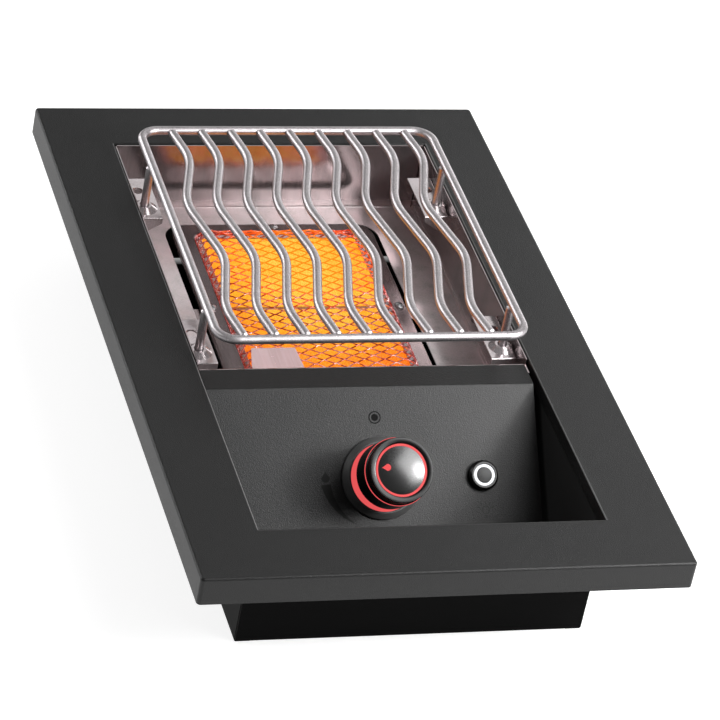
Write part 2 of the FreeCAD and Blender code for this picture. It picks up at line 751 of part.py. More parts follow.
def tray_under(out, edge, flat):
    """Height of the tray's underside at a distance out from the burner's centre."""
    low = TRAY_EDGE - TRAY_SHEET
    high = TRAY_TOP - TRAY_SHEET
    return low + (high - low) * (edge - TRAY_SHEET - out) / (edge - TRAY_SHEET - flat)


def strap_sides():
    """The four sides of the tray: half size to the edge, to the flat, screw inset, turn."""
    return [(TRAY_X, MESH_X, SCREW_INSET_SIDE, 0), (TRAY_Y, MESH_Y, SCREW_INSET_END, 90),
            (TRAY_X, MESH_X, SCREW_INSET_SIDE, 180), (TRAY_Y, MESH_Y, SCREW_INSET_END, 270)]


def round_burner(shape, degrees):
    """Turns a shape drawn towards +X about the burner's centre."""
    turn = FreeCAD.Placement(V(0, BURNER_Y, 0), FreeCAD.Rotation(UP, degrees))
    shape.Placement = turn.multiply(shape.Placement)
    return shape


def strap_screws(section):
    """One turned section square to the tray's slope, at the middle of each side."""
    screws = []
    for edge, flat, inset, degrees in strap_sides():
        lean = math.degrees(math.atan2(TRAY_RISE, edge - flat))
        out = edge - inset
        z = TRAY_EDGE + TRAY_RISE * inset / (edge - flat)
        screw = turned(section)
        screw.Placement = FreeCAD.Placement(V(out, 0, z), FreeCAD.Rotation(V(0, 1, 0), lean))
        screws.append(round_burner(screw, degrees))
    return screws


def strap_screw_holes():
    """Clearance holes for the four screws."""
    radius = SCREW_SHANK + SCREW_CLEARANCE
    return strap_screws([(0, -2 * SCREW_LENGTH), (radius, -2 * SCREW_LENGTH),
                         (radius, SCREW_LENGTH), (0, SCREW_LENGTH)])


def burner_screws():
    """The four domed screws that hold the tray to its straps."""
    brim = SCREW_HEAD_HEIGHT / 3
    return Part.makeCompound(strap_screws([
        (0, -SCREW_LENGTH), (SCREW_SHANK, -SCREW_LENGTH), (SCREW_SHANK, 0), (SCREW_HEAD, 0),
        (SCREW_HEAD, brim), (SCREW_HEAD - 2 * brim, SCREW_HEAD_HEIGHT), (0, SCREW_HEAD_HEIGHT)]))


def burner_straps():
    """Four Z straps from under the firebox floor to under the tray."""
    straps = []
    for (edge, flat, _, degrees), hole in zip(strap_sides(), strap_screw_holes()):
        inner = edge - STRAP_INSET
        riser = edge - STRAP_RISER
        path = [(inner, tray_under(inner, edge, flat)), (riser, tray_under(riser, edge, flat)),
                (riser, FLOOR_UNDER), (edge + CUTOUT_GAP + STRAP_REACH, FLOOR_UNDER)]
        path = path[::-1]
        strap = folded(path, STRAP_SHEET, in_xz(-STRAP_WIDTH / 2), V(0, STRAP_WIDTH, 0), 0.0)
        straps.append(round_burner(strap, degrees).cut(hole))
    return Part.makeCompound(straps)


def burner_plenum():
    """Gas box: the upper part holds the tiles on a step, the lower part spreads the gas."""
    wall = PLENUM_SHEET
    step_x, step_y = PLENUM_X - PLENUM_STEP, PLENUM_Y - PLENUM_STEP
    corner = PLENUM_CORNER
    rim = TRAY_TOP - TRAY_SHEET
    body = slab(PLENUM_X + wall, PLENUM_Y + wall, wall + 1, TILE_UNDER - wall, rim, BURNER_Y)
    body = body.fuse(slab(step_x + wall, step_y + wall, corner, PLENUM_BOTTOM, TILE_UNDER, BURNER_Y))
    body = body.cut(slab(PLENUM_X, PLENUM_Y, 1.0, TILE_UNDER, rim + 1, BURNER_Y))
    body = body.cut(slab(step_x, step_y, corner - wall, PLENUM_BOTTOM + wall, TILE_UNDER + 1, BURNER_Y))
    hole = bar(MIXER_RADIUS + LIGHT_GAP, V(MIXER_X, PLENUM_FRONT - 1, MIXER_Z),
               V(MIXER_X, PLENUM_FRONT + 2, MIXER_Z))
    return body.cut(hole)


def tile_gasket():
    """Fibre gasket between the tiles' sides and the plenum."""
    ring = slab(PLENUM_X, PLENUM_Y, 1.0, TILE_UNDER, TRAY_TOP - TRAY_SHEET, BURNER_Y)
    return ring.cut(block(-TILES_X, TILES_X, BURNER_Y - TILES_Y, BURNER_Y + TILES_Y, TILE_UNDER - 1, TOP))


def burner_tile(side):
    """One ceramic tile, before or behind the divider."""
    near = side * TILE_GAP / 2
    far = side * TILES_Y
    y0, y1 = sorted((BURNER_Y + near, BURNER_Y + far))
    return block(-TILES_X, TILES_X, y0, y1, TILE_UNDER, TILE_TOP)


def tile_divider():
    """Tee bar between the tiles: its foot lies across the plenum's step."""
    half_foot, half_web = DIVIDER_FOOT / 2, TILE_GAP / 2
    sheet = PLENUM_SHEET
    low = TILE_UNDER - sheet
    section = [(-half_foot, low), (half_foot, low), (half_foot, TILE_UNDER), (half_web, TILE_UNDER),
               (half_web, TILE_TOP - 2 * sheet), (-half_web, TILE_TOP - 2 * sheet),
               (-half_web, TILE_UNDER), (-half_foot, TILE_UNDER)]
    step_x = PLENUM_X - PLENUM_STEP
    wire = Part.makePolygon([V(-step_x, BURNER_Y + y, z) for y, z in section + [section[0]]])
    return Part.Face(wire).extrude(V(2 * step_x, 0, 0))


def burner_mesh():
    """Raised screen with diamond openings in its top."""
    sheet = MESH_SHEET
    top_x, top_y = MESH_X - MESH_FLANK, MESH_Y - MESH_FLANK
    outer = hopper((MESH_X, MESH_Y, MESH_CORNER, TRAY_TOP), (top_x, top_y, MESH_CORNER, MESH_TOP), BURNER_Y)
    inner = hopper((MESH_X - sheet, MESH_Y - sheet, MESH_CORNER, TRAY_TOP - 0.01),
                   (top_x - sheet, top_y - sheet, MESH_CORNER, MESH_TOP - sheet), BURNER_Y)
    screen = outer.cut(inner)
    half_x = MESH_PITCH_X / 2 - MESH_STRAND
    half_y = MESH_PITCH_Y / 2 - MESH_STRAND * MESH_PITCH_Y / MESH_PITCH_X
    holes = []
    for row in range(2 * MESH_ROWS - 1):
        y = BURNER_Y + (row - MESH_ROWS + 1) * MESH_PITCH_Y / 2
        columns = MESH_COLUMNS - row % 2
        for column in range(columns):
            x = (column - (columns - 1) / 2) * MESH_PITCH_X
            points = [V(x - half_x, y, 0), V(x, y - half_y, 0), V(x + half_x, y, 0), V(x, y + half_y, 0)]
            wire = Part.makePolygon(points + [points[0]])
            wire.translate(UP * (MESH_TOP - 2 * sheet))
            holes.append(Part.Face(wire).extrude(UP * 3 * sheet))
    slot = block(ELECTRODE_X - 3, ELECTRODE_X + 3, BURNER_Y - MESH_Y - 1, BURNER_Y - top_y + 0.5,
                 electrode_level() - 2.5, electrode_level() + 2)
    return screen.cut(Part.makeCompound(holes)).cut(slot)


def igniter_cover(tray, mesh):
    """Tapered tongue on the mesh with a hood over the electrode, standing on the tray."""
    sheet = COVER_SHEET
    front = BURNER_Y - TRAY_Y + COVER_FRONT_INSET
    mesh_front = BURNER_Y - MESH_Y
    left, right = -COVER_LEFT - COVER_SPREAD_LEFT, -COVER_RIGHT + COVER_SPREAD_RIGHT
    level = MESH_TOP
    tongue = [(-COVER_LEFT, COVER_BACK), (left, mesh_front + MESH_FLANK), (left, front),
              (right, front), (right, mesh_front + MESH_FLANK), (-COVER_RIGHT, COVER_BACK)]
    radii = [1.5, 0, 0, 0, 0, 1.5]
    plate = Part.Face(rounded_loop(tongue, radii, in_xy(level))).extrude(UP * sheet)
    hood = block(left, right, front, mesh_front, TRAY_EDGE, level + sheet)
    hood = hood.cut(block(left + sheet, right - sheet, front + sheet, mesh_front + 1, TRAY_EDGE - 1, level))
    cover = plate.fuse(hood)
    filled_tray = hopper((TRAY_X, TRAY_Y, TRAY_CORNER, TRAY_EDGE),
                         (MESH_X, MESH_Y, MESH_CORNER, TRAY_TOP), BURNER_Y)
    return cover.cut(tray).cut(mesh).cut(filled_tray).removeSplitter()


# Ignition

def electrode_level():
    """Height of the electrode's tip, midway between the tiles and the mesh."""
    return (TILE_TOP + MESH_TOP) / 2 + 1.5


def insulator_top():
    """Top of the electrode's insulator, one bend below the tip."""
    return electrode_level() - ELECTRODE_BEND


def electrode_insulator():
    """Ceramic insulator with a collar that stands on the tray."""
    top = insulator_top()
    collar = TRAY_TOP - 0.3
    section = [(ELECTRODE_RADIUS, top - INSULATOR_LENGTH), (INSULATOR_RADIUS, top - INSULATOR_LENGTH),
               (INSULATOR_RADIUS, collar), (INSULATOR_COLLAR, collar), (INSULATOR_COLLAR, collar + 1.2),
               (INSULATOR_RADIUS, collar + 1.2), (INSULATOR_RADIUS - 1, top), (ELECTRODE_RADIUS, top)]
    body = turned(section)
    body.translate(V(ELECTRODE_X, ELECTRODE_Y, 0))
    return body


def electrode_rod():
    """Electrode: up through its insulator and over the tiles."""
    start = V(ELECTRODE_X, ELECTRODE_Y, insulator_top() - INSULATOR_LENGTH)
    corner = V(ELECTRODE_X, ELECTRODE_Y, electrode_level())
    tip = V(ELECTRODE_X, ELECTRODE_TIP, electrode_level())
    return wire_along([start, corner, tip], [ELECTRODE_BEND], ELECTRODE_RADIUS)


def module_corner():
    """Left, front, bottom corner of the spark module."""
    back = LINER_FRONT - LINER_SHEET - MODULE_FROM_FIREBOX
    return V(-WALL_X, back - MODULE_LENGTH, TOP - MODULE_DROP - MODULE_HEIGHT)


def spark_module():
    """Pulse igniter box on the housing's left wall."""
    corner = module_corner()
    body = Part.makeBox(MODULE_THICKNESS, MODULE_LENGTH, MODULE_HEIGHT, corner)
    edges = [e for e in body.Edges if all(v.X > corner.x + 1 for v in e.Vertexes)]
    return body.makeFillet(MODULE_ROUND, edges)


def ignition_lead():
    """High voltage lead from the module's underside to the electrode."""
    corner = module_corner()
    start = corner + V(MODULE_THICKNESS / 2, MODULE_LENGTH - 2 * MODULE_ROUND - LEAD_RADIUS, 0)
    low = V(start.x, start.y, LEAD_LOW)
    under = V(ELECTRODE_X, ELECTRODE_Y, LEAD_LOW)
    end = V(ELECTRODE_X, ELECTRODE_Y, insulator_top() - INSULATOR_LENGTH)
    middle = (low + under) / 2 + V(0, -LEAD_SWEEP / 2, 0)
    bends = [LEAD_SWEEP, 3 * LEAD_SWEEP, LEAD_SWEEP]
    return wire_along([start, low, middle, under, end], bends, LEAD_RADIUS)


# Gas path

def along_y(shape, y):
    """Stands a shape drawn along +Z on the mixing tube's axis, pointing back from y."""
    shape.Placement = FreeCAD.Placement(V(MIXER_X, y, MIXER_Z), FreeCAD.Rotation(UP, V(0, 1, 0)))
    return shape


def mixing_tube():
    """Mixing tube with a bell mouth, reaching well into the plenum."""
    length = PLENUM_FRONT + MIXER_INSIDE - MIXER_MOUTH
    outer, wall = MIXER_RADIUS, MIXER_WALL
    section = [(MOUTH_RADIUS - wall, 0), (MOUTH_RADIUS, 0), (MOUTH_RADIUS, wall),
               (outer, MOUTH_LENGTH), (outer, length), (outer - wall, length),
               (outer - wall, MOUTH_LENGTH - wall / 2)]
    return along_y(turned(section), MIXER_MOUTH)


def air_shutter():
    """Slotted cup round the bell mouth that sets the air."""
    inner = MOUTH_RADIUS + LIGHT_GAP
    outer = inner + SHUTTER_WALL
    section = [(JET_THREAD + LIGHT_GAP, 0), (outer, 0), (outer, SHUTTER_LENGTH), (inner, SHUTTER_LENGTH),
               (inner, SHUTTER_WALL), (JET_THREAD + LIGHT_GAP, SHUTTER_WALL)]
    cup = turned(section)
    start = (SHUTTER_LENGTH - SHUTTER_WINDOW_LENGTH) / 2 - 2
    for i in range(SHUTTER_WINDOWS):
        window = Part.makeBox(2 * outer, SHUTTER_WINDOW_WIDTH, SHUTTER_WINDOW_LENGTH,
                              V(0, -SHUTTER_WINDOW_WIDTH / 2, start))
        window.rotate(V(0, 0, 0), UP, (i + 0.5) * 360.0 / SHUTTER_WINDOWS)
        core = Part.makeCylinder(inner - 1, SHUTTER_LENGTH)
        cup = cup.cut(window.cut(core))
    return along_y(cup, shutter_back())


def shutter_back():
    """Front face of the air shutter's plate."""
    return MIXER_MOUTH - SHUTTER_LENGTH + SHUTTER_GAP + MIXER_WALL


def gas_orifice():
    """Brass jet: hexagon, threaded nose through the shutter and a fine bore."""
    hexed = hexagon(JET_HEX, V(0, 0, -JET_HEX_LENGTH), V(0, 0, 0))
    nose = Part.makeCylinder(JET_THREAD, JET_NOSE)
    jet = hexed.fuse(nose)
    jet = jet.cut(Part.makeCylinder(JET_BORE, 2 * JET_NOSE, V(0, 0, -1)))
    jet = jet.cut(Part.makeCylinder(JET_THREAD / 2, JET_HEX_LENGTH, V(0, 0, -JET_HEX_LENGTH - 1)))
    return along_y(jet, shutter_back())


def outlet_depth():
    """Depth along the valve's axis at which its outlet is level with the mixing tube."""
    return (panel_point(VALVE_X, 0).z - MIXER_Z) / math.cos(math.radians(SLOPE))


def gas_tube():
    """Pipe from the valve's outlet to the jet."""
    port = panel_point(VALVE_X, -outlet_depth())
    start = V(VALVE_X + VALVE_BOSS_REACH, port.y, MIXER_Z)
    corner = V(MIXER_X, port.y, MIXER_Z)
    end = V(MIXER_X, shutter_back() - JET_HEX_LENGTH, MIXER_Z)
    return wire_along([start, corner, end], [GAS_TUBE_BEND], GAS_TUBE_RADIUS)


def inlet_top():
    """Top of the inlet fitting's hexagon."""
    return INLET_BOTTOM + INLET_THREAD_LENGTH + INLET_HEX_LENGTH


def gas_inlet_pipe():
    """Pipe from the inlet fitting up and across to the valve."""
    port = panel_point(VALVE_X, -VALVE_INLET_DEPTH)
    start = V(VALVE_X - VALVE_BOSS_REACH, port.y, port.z)
    corner = V(INLET_X, port.y, port.z)
    end = V(INLET_X, port.y, inlet_top())
    return wire_along([start, corner, end], [INLET_PIPE_BEND], INLET_PIPE_RADIUS)


def inlet_fitting():
    """Male gas fitting that points down, with its hexagon."""
    port = panel_point(VALVE_X, -VALVE_INLET_DEPTH)
    foot = V(INLET_X, port.y, INLET_BOTTOM)
    shoulder = foot + UP * INLET_THREAD_LENGTH
    body = bar(INLET_THREAD, foot, shoulder)
    body = body.fuse(hexagon(INLET_HEX, shoulder, V(INLET_X, port.y, inlet_top())))
    body = body.cut(bar(INLET_BORE, foot - UP, V(INLET_X, port.y, inlet_top() + 1)))
    return body.removeSplitter()


def inlet_bracket():
    """Angle on the left wall with the pipe through its shelf."""
    port = panel_point(VALVE_X, -VALVE_INLET_DEPTH)
    shelf = inlet_top()
    half = INLET_HEX + 2
    path = [(INLET_X + half, shelf), (-WALL_X, shelf), (-WALL_X, shelf + 2 * half)]
    angle = folded(path[::-1], BRACKET_SHEET, in_xz(port.y - half), V(0, 2 * half, 0))
    hole = bar(INLET_PIPE_RADIUS + LIGHT_GAP, V(INLET_X, port.y, shelf - 1), V(INLET_X, port.y, shelf + 4))
    return angle.cut(hole)


def gas_valve_body():
    """Brass valve: flange, barrel and two side ports."""
    flange_top = -PANEL_SHEET - BRACKET_SHEET
    flange = slab(VALVE_FLANGE_LENGTH / 2, VALVE_FLANGE_WIDTH / 2, VALVE_FLANGE_WIDTH / 2 - 1,
                  flange_top - VALVE_FLANGE, flange_top)
    tail = outlet_depth() + VALVE_TAIL
    barrel = turned([(0, -tail), (VALVE_RADIUS - 3, -tail), (VALVE_RADIUS, -tail + 3),
                     (VALVE_RADIUS, flange_top), (0, flange_top)])
    outlet = bar(VALVE_BOSS_RADIUS - 1, V(0, 0, -outlet_depth()), V(VALVE_BOSS_REACH, 0, -outlet_depth()))
    inlet = bar(VALVE_BOSS_RADIUS, V(0, 0, -VALVE_INLET_DEPTH), V(-VALVE_BOSS_REACH, 0, -VALVE_INLET_DEPTH))
    body = flange.fuse(barrel).fuse(outlet).fuse(inlet)
    chamber = VALVE_CHAMBER_DEPTH - flange_top
    body = body.cut(Part.makeCylinder(VALVE_CHAMBER, chamber, V(0, 0, flange_top + 1 - chamber)))
    deep = STEM_INSIDE + PUSH_TRAVEL + 1
    body = body.cut(Part.makeCylinder(STEM_RADIUS + STEM_CLEARANCE, deep, V(0, 0, -deep)))
    return on_panel(body.removeSplitter(), VALVE_X)


def valve_bracket():
    """Plate behind the panel that the valve is screwed to."""
    half_x, half_y = VALVE_FLANGE_LENGTH / 2 + 3, VALVE_FLANGE_WIDTH / 2 + 3
    plate = slab(half_x, half_y, 3.0, -PANEL_SHEET - BRACKET_SHEET, -PANEL_SHEET)
    plate = plate.cut(Part.makeCylinder(STEM_HOLE, 8, V(0, 0, -5)))
    return on_panel(plate, VALVE_X)


def valve_stem():
    """Round stem with a flat along its outer half for the knob."""
    stem = Part.makeCylinder(STEM_RADIUS, STEM_INSIDE + STEM_OUTSIDE, V(0, 0, -STEM_INSIDE))
    corner = V(-STEM_RADIUS, STEM_FLAT, KNOB_HUB_BOTTOM)
    flat = Part.makeBox(2 * STEM_RADIUS, STEM_RADIUS, STEM_OUTSIDE, corner)
    return on_panel(stem.cut(flat), VALVE_X)


def stem_collar():
    """Spring seat that slides with the stem and doesn't turn."""
    inner = STEM_RADIUS + STEM_CLEARANCE / 2
    top = COLLAR_THICKNESS - COLLAR_DEPTH
    ring = turned([(inner, -COLLAR_DEPTH), (COLLAR_RADIUS, -COLLAR_DEPTH),
                   (COLLAR_RADIUS, top), (inner, top)])
    return on_panel(ring, VALVE_X)


# Knob and its bezel

def knob_bezel():
    """Dish on the panel: a sloped ring round the lit ring."""
    section = [(BEZEL_HOLE, 0), (BEZEL_RADIUS, 0), (BEZEL_RADIUS, BEZEL_EDGE),
               (BEZEL_INNER + BEZEL_LAND, BEZEL_HEIGHT), (BEZEL_INNER, BEZEL_HEIGHT),
               (BEZEL_INNER, BEZEL_FLOOR), (BEZEL_HOLE, BEZEL_FLOOR)]
    return on_panel(turned(section), VALVE_X)


def bezel_light_ring():
    """Translucent ring in the bezel."""
    outer = BEZEL_INNER - LIGHT_GAP
    section = [(BEZEL_LIGHT_INNER, BEZEL_FLOOR), (outer, BEZEL_FLOOR), (outer, BEZEL_LIGHT_TOP),
               (BEZEL_LIGHT_INNER, BEZEL_LIGHT_TOP)]
    return on_panel(turned(section), VALVE_X)


def knob_body():
    """Moulded knob: skirt, web and a hub on the stem."""
    bore_top = STEM_OUTSIDE
    bore = STEM_RADIUS + STEM_CLEARANCE
    web = KNOB_SHOULDER - KNOB_WEB
    section = [(0, bore_top), (bore, bore_top), (bore, KNOB_HUB_BOTTOM), (KNOB_HUB, KNOB_HUB_BOTTOM),
               (KNOB_HUB, web), (KNOB_RADIUS - KNOB_WALL, web), (KNOB_RADIUS - KNOB_WALL, KNOB_BOTTOM),
               (KNOB_RADIUS - 0.6, KNOB_BOTTOM), (KNOB_RADIUS, KNOB_BOTTOM + 0.6),
               (KNOB_RADIUS, KNOB_SHOULDER), (0, KNOB_SHOULDER)]
    return on_panel(turned(section), VALVE_X)


def knob_side_light():
    """Thin lit ring round the knob's shoulder."""
    section = [(SIDE_LIGHT_INNER, KNOB_SHOULDER), (SIDE_LIGHT_RADIUS, KNOB_SHOULDER),
               (SIDE_LIGHT_RADIUS, SIDE_LIGHT_TOP - RIM_CHAMFER),
               (SIDE_LIGHT_RADIUS - RIM_CHAMFER, SIDE_LIGHT_TOP),
               (SIDE_LIGHT_INNER, SIDE_LIGHT_TOP)]
    return on_panel(turned(section), VALVE_X)


def knob_cap():
    """Black cap over the side light, with a seat for the face."""
    section = [(0, KNOB_SHOULDER), (SIDE_LIGHT_INNER, KNOB_SHOULDER), (SIDE_LIGHT_INNER, SIDE_LIGHT_TOP),
               (CAP_RADIUS, SIDE_LIGHT_TOP), (CAP_RADIUS, CAP_TOP), (FACE_RING_OUTER, CAP_TOP),
               (FACE_RING_OUTER, CAP_RECESS), (0, CAP_RECESS)]
    return on_panel(turned(section), VALVE_X)


def knob_trim_ring():
    """Metal ring round the knob's front."""
    chamfer = RIM_CHAMFER
    section = [(FACE_RING_OUTER, CAP_TOP), (CAP_RADIUS, CAP_TOP), (CAP_RADIUS, RIM_TOP - chamfer),
               (CAP_RADIUS - chamfer, RIM_TOP), (FACE_RING_OUTER + chamfer, RIM_TOP),
               (FACE_RING_OUTER, RIM_TOP - chamfer)]
    return on_panel(turned(section), VALVE_X)


def knob_face_light():
    """Lit ring round the knob's face."""
    outer = FACE_RING_OUTER - LIGHT_GAP
    section = [(FACE_RING_INNER, CAP_RECESS), (outer, CAP_RECESS), (outer, FACE_RING_TOP),
               (FACE_RING_INNER, FACE_RING_TOP)]
    return on_panel(turned(section), VALVE_X)


def knob_face():
    """Glossy domed face."""
    edge = FACE_RING_INNER - LIGHT_GAP
    rise = FACE_TOP - FACE_RING_TOP
    radius = (edge ** 2 + rise ** 2) / (2 * rise)
    half = math.asin(edge / radius) / 2
    middle = V(radius * math.sin(half), 0, FACE_TOP - radius + radius * math.cos(half))
    crown = Part.Arc(V(edge, 0, FACE_RING_TOP), middle, V(0, 0, FACE_TOP)).toShape()
    rest = Part.makePolygon([V(0, 0, FACE_TOP), V(0, 0, CAP_RECESS), V(edge, 0, CAP_RECESS),
                             V(edge, 0, FACE_RING_TOP)])
    profile = Part.Face(Part.Wire([crown] + rest.Edges))
    return on_panel(profile.revolve(V(0, 0, 0), UP, 360), VALVE_X)


# Push button

def button_housing():
    """Switch body with its chamfered front and a barrel through the panel."""
    bore = BUTTON_CAP + BUTTON_CLEARANCE
    bore_floor = -BUTTON_CAP_DEPTH - BUTTON_TRAVEL - 0.5
    light = BUTTON_LIGHT + LIGHT_GAP
    section = [(0, -BUTTON_DEPTH), (BUTTON_BARREL, -BUTTON_DEPTH), (BUTTON_BARREL, 0), (BUTTON_FLANGE, 0),
               (BUTTON_FLANGE, BUTTON_EDGE), (BUTTON_FLANGE - BUTTON_CHAMFER, BUTTON_HEIGHT),
               (light, BUTTON_HEIGHT), (light, BUTTON_LIGHT_FLOOR), (bore, BUTTON_LIGHT_FLOOR),
               (bore, bore_floor), (0, bore_floor)]
    return on_panel(turned(section), BUTTON_X)


def button_light_ring():
    """Translucent ring round the button."""
    inner = BUTTON_CAP + BUTTON_CLEARANCE
    section = [(inner, BUTTON_LIGHT_FLOOR), (BUTTON_LIGHT, BUTTON_LIGHT_FLOOR),
               (BUTTON_LIGHT, BUTTON_LIGHT_TOP), (inner, BUTTON_LIGHT_TOP)]
    return on_panel(turned(section), BUTTON_X)


def button_cap():
    """The part that is pressed."""
    section = [(0, -BUTTON_CAP_DEPTH), (BUTTON_CAP, -BUTTON_CAP_DEPTH), (BUTTON_CAP, BUTTON_CAP_TOP - 0.3),
               (BUTTON_CAP - 0.3, BUTTON_CAP_TOP), (0, BUTTON_CAP_TOP)]
    return on_panel(turned(section), BUTTON_X)


def button_nut():
    """Hexagonal nut behind the panel."""
    top = -PANEL_SHEET
    nut = hexagon(BUTTON_NUT, V(0, 0, top - BUTTON_NUT_HEIGHT), V(0, 0, top))
    nut = nut.cut(Part.makeCylinder(BUTTON_BARREL + LIGHT_GAP, 20, V(0, 0, -10)))
    return on_panel(nut, BUTTON_X)


# Grate

def grate_frame():
    """Round wire bent into a rounded rectangle."""
    half_y = (RING_BACK - RING_FRONT) / 2
    loop = flat_wire(RING_X, half_y, GRATE_CORNER, RING_Z, (RING_BACK + RING_FRONT) / 2)
    return swept(loop.Edges, RAIL_WIRE)


def crest_angle(half_wave, across):
    """Angle of the straight run between two crests a half wave apart and a distance across."""
    drop = 2 * WAVE_RADIUS - across
    reach = math.hypot(drop, half_wave)
    return math.asin(2 * WAVE_RADIUS / reach) - math.atan2(drop, half_wave)


def grate_rod(centre_x):
    """One wavy rod: crests of one radius joined by straight runs, with chamfered ends."""
    count = len(CREST_OFFSETS)
    first = RING_FRONT + FIRST_CREST
    half_wave = (RING_BACK - LAST_CREST - first) / (count - 1)
    runs = [crest_angle(half_wave, abs(b - a)) for a, b in zip(CREST_OFFSETS, CREST_OFFSETS[1:])]
    end_angle = math.radians(ROD_END_ANGLE)
    runs = [end_angle] + runs + [end_angle]
    inset = RAIL_WIRE - WELD_SEAT + WIRE_CHAMFER
    arcs = []
    for i, offset in enumerate(CREST_OFFSETS):
        side = -1 if i % 2 == 0 else 1
        centre = V(centre_x + offset - side * WAVE_RADIUS, first + i * half_wave, RING_Z)

        def at(angle):
            return centre + V(side * math.cos(angle), math.sin(angle), 0) * WAVE_RADIUS

        arcs.append((at(-runs[i]), at((runs[i + 1] - runs[i]) / 2), at(runs[i + 1])))
    front, back = arcs[0][0], arcs[-1][2]
    fall = math.tan(end_angle)
    side = -1 if count % 2 else 1
    near = V(front.x + (front.y - RING_FRONT - inset) * fall, RING_FRONT + inset, RING_Z)
    far = V(back.x - side * (RING_BACK - inset - back.y) * fall, RING_BACK - inset, RING_Z)
    edges = []
    last = near
    for start, middle, end in arcs:
        edges.append(Part.LineSegment(last, start).toShape())
        edges.append(Part.Arc(start, middle, end).toShape())
        last = end
    edges.append(Part.LineSegment(last, far).toShape())
    tips = [Part.makeCone(ROD_WIRE, ROD_WIRE - WIRE_CHAMFER, WIRE_CHAMFER, tip, heading)
            for tip, heading in ((near, near - front), (far, far - back))]
    return swept(edges, ROD_WIRE).multiFuse(tips)


def grate_rods():
    """Nine equal rods, coped to the front and back rails."""
    pitch = 2 * RING_X / (ROD_COUNT + 1)
    rails = [bar(RAIL_WIRE, V(-RING_X, y, RING_Z), V(RING_X, y, RING_Z)) for y in (RING_FRONT, RING_BACK)]
    rods = []
    for i in range(ROD_COUNT):
        rod = grate_rod((i - (ROD_COUNT - 1) / 2) * pitch)
        rods.append(rod.cut(rails[0]).cut(rails[1]))
    return Part.makeCompound([rod.Solids[0] for rod in rods])


def grate_legs():
    """Four pins with tapered tops under the side rails, that stand in the ledges' collars."""
    top = RING_Z - RAIL_WIRE + WELD_SEAT
    section = [(0, LEDGE_TOP), (LEG_WIRE - RIM_CHAMFER, LEDGE_TOP), (LEG_WIRE, LEDGE_TOP + RIM_CHAMFER),
               (LEG_WIRE, top - LEG_CHAMFER), (LEG_WIRE - LEG_CHAMFER, top), (0, top)]
    legs = []
    for side in (-1, 1):
        rail = bar(RAIL_WIRE, V(side * RING_X, RING_FRONT, RING_Z), V(side * RING_X, RING_BACK, RING_Z))
        for y in (FRONT_LEG_Y, REAR_LEG_Y):
            pin = turned(section)
            pin.translate(V(side * RING_X, y, 0))
            legs.append(pin.cut(rail).Solids[0])
    return Part.makeCompound(legs)


def build():
    """Every sub-part by name."""
    parts = {"trim_frame": trim_frame()}
    side_wall = housing_side()
    parts["housing_right"] = side_wall
    parts["housing_left"] = mirrored(side_wall)
    parts["housing_front"] = housing_end(-1)
    parts["housing_back"] = housing_end(1)
    parts["case_screws"] = case_screws()
    liner = firebox_side()
    parts["firebox_right"] = liner
    parts["firebox_left"] = mirrored(liner)
    parts["firebox_front"] = firebox_front()
    parts["firebox_back"] = firebox_back()
    parts["firebox_floor"] = firebox_floor()
    rail = firebox_rail()
    parts["firebox_rail_right"] = rail
    parts["firebox_rail_left"] = mirrored(rail)
    for where, leg_y in (("front", FRONT_LEG_Y), ("rear", REAR_LEG_Y)):
        bracket = ledge(leg_y)
        parts["grate_bracket_" + where + "_right"] = bracket
        parts["grate_bracket_" + where + "_left"] = mirrored(bracket)
    parts["control_panel"] = control_panel()
    parts["burner_tray"] = burner_tray()
    parts["burner_plenum"] = burner_plenum()
    parts["burner_straps"] = burner_straps()
    parts["burner_screws"] = burner_screws()
    parts["tile_gasket"] = tile_gasket()
    parts["tile_front"] = burner_tile(-1)
    parts["tile_rear"] = burner_tile(1)
    parts["tile_divider"] = tile_divider()
    parts["burner_mesh"] = burner_mesh()
    parts["igniter_cover"] = igniter_cover(parts["burner_tray"], parts["burner_mesh"])
    for piece in (electrode_insulator, electrode_rod, spark_module, ignition_lead, mixing_tube, air_shutter,
                  gas_orifice, gas_tube, gas_inlet_pipe, inlet_fitting, inlet_bracket, gas_valve_body,
                  valve_bracket, valve_stem, stem_collar, knob_bezel, bezel_light_ring, knob_body,
                  knob_side_light, knob_cap, knob_trim_ring, knob_face_light, knob_face, button_housing,
                  button_light_ring, button_cap, button_nut, grate_frame, grate_rods, grate_legs):
        parts[piece.__name__] = piece()
    return parts


os.makedirs("parts", exist_ok=True)
for name, shape in build().items():
    shape.exportStep("parts/" + name + ".step")
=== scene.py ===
import json
import math

import bmesh
import bpy
from mathutils import Matrix, Vector


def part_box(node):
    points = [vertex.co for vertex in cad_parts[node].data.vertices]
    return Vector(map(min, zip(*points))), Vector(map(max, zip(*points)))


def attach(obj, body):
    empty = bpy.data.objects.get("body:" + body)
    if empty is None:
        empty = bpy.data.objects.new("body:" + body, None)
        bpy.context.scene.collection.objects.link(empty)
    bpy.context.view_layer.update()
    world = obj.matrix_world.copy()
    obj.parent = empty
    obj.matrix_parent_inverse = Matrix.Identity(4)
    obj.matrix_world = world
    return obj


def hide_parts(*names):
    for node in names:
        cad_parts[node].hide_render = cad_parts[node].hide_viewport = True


# A built-in gas side burner: powder coated frame and sloping panel, stainless firebox,
# glowing ceramic burner under a diamond mesh, and a wire grate that lifts off.
#
# X is to the right, Y to the back and Z up. Places are in metres. The sizes of screws,
# printed marks and turned controls are in millimetres, and MM turns them into metres.

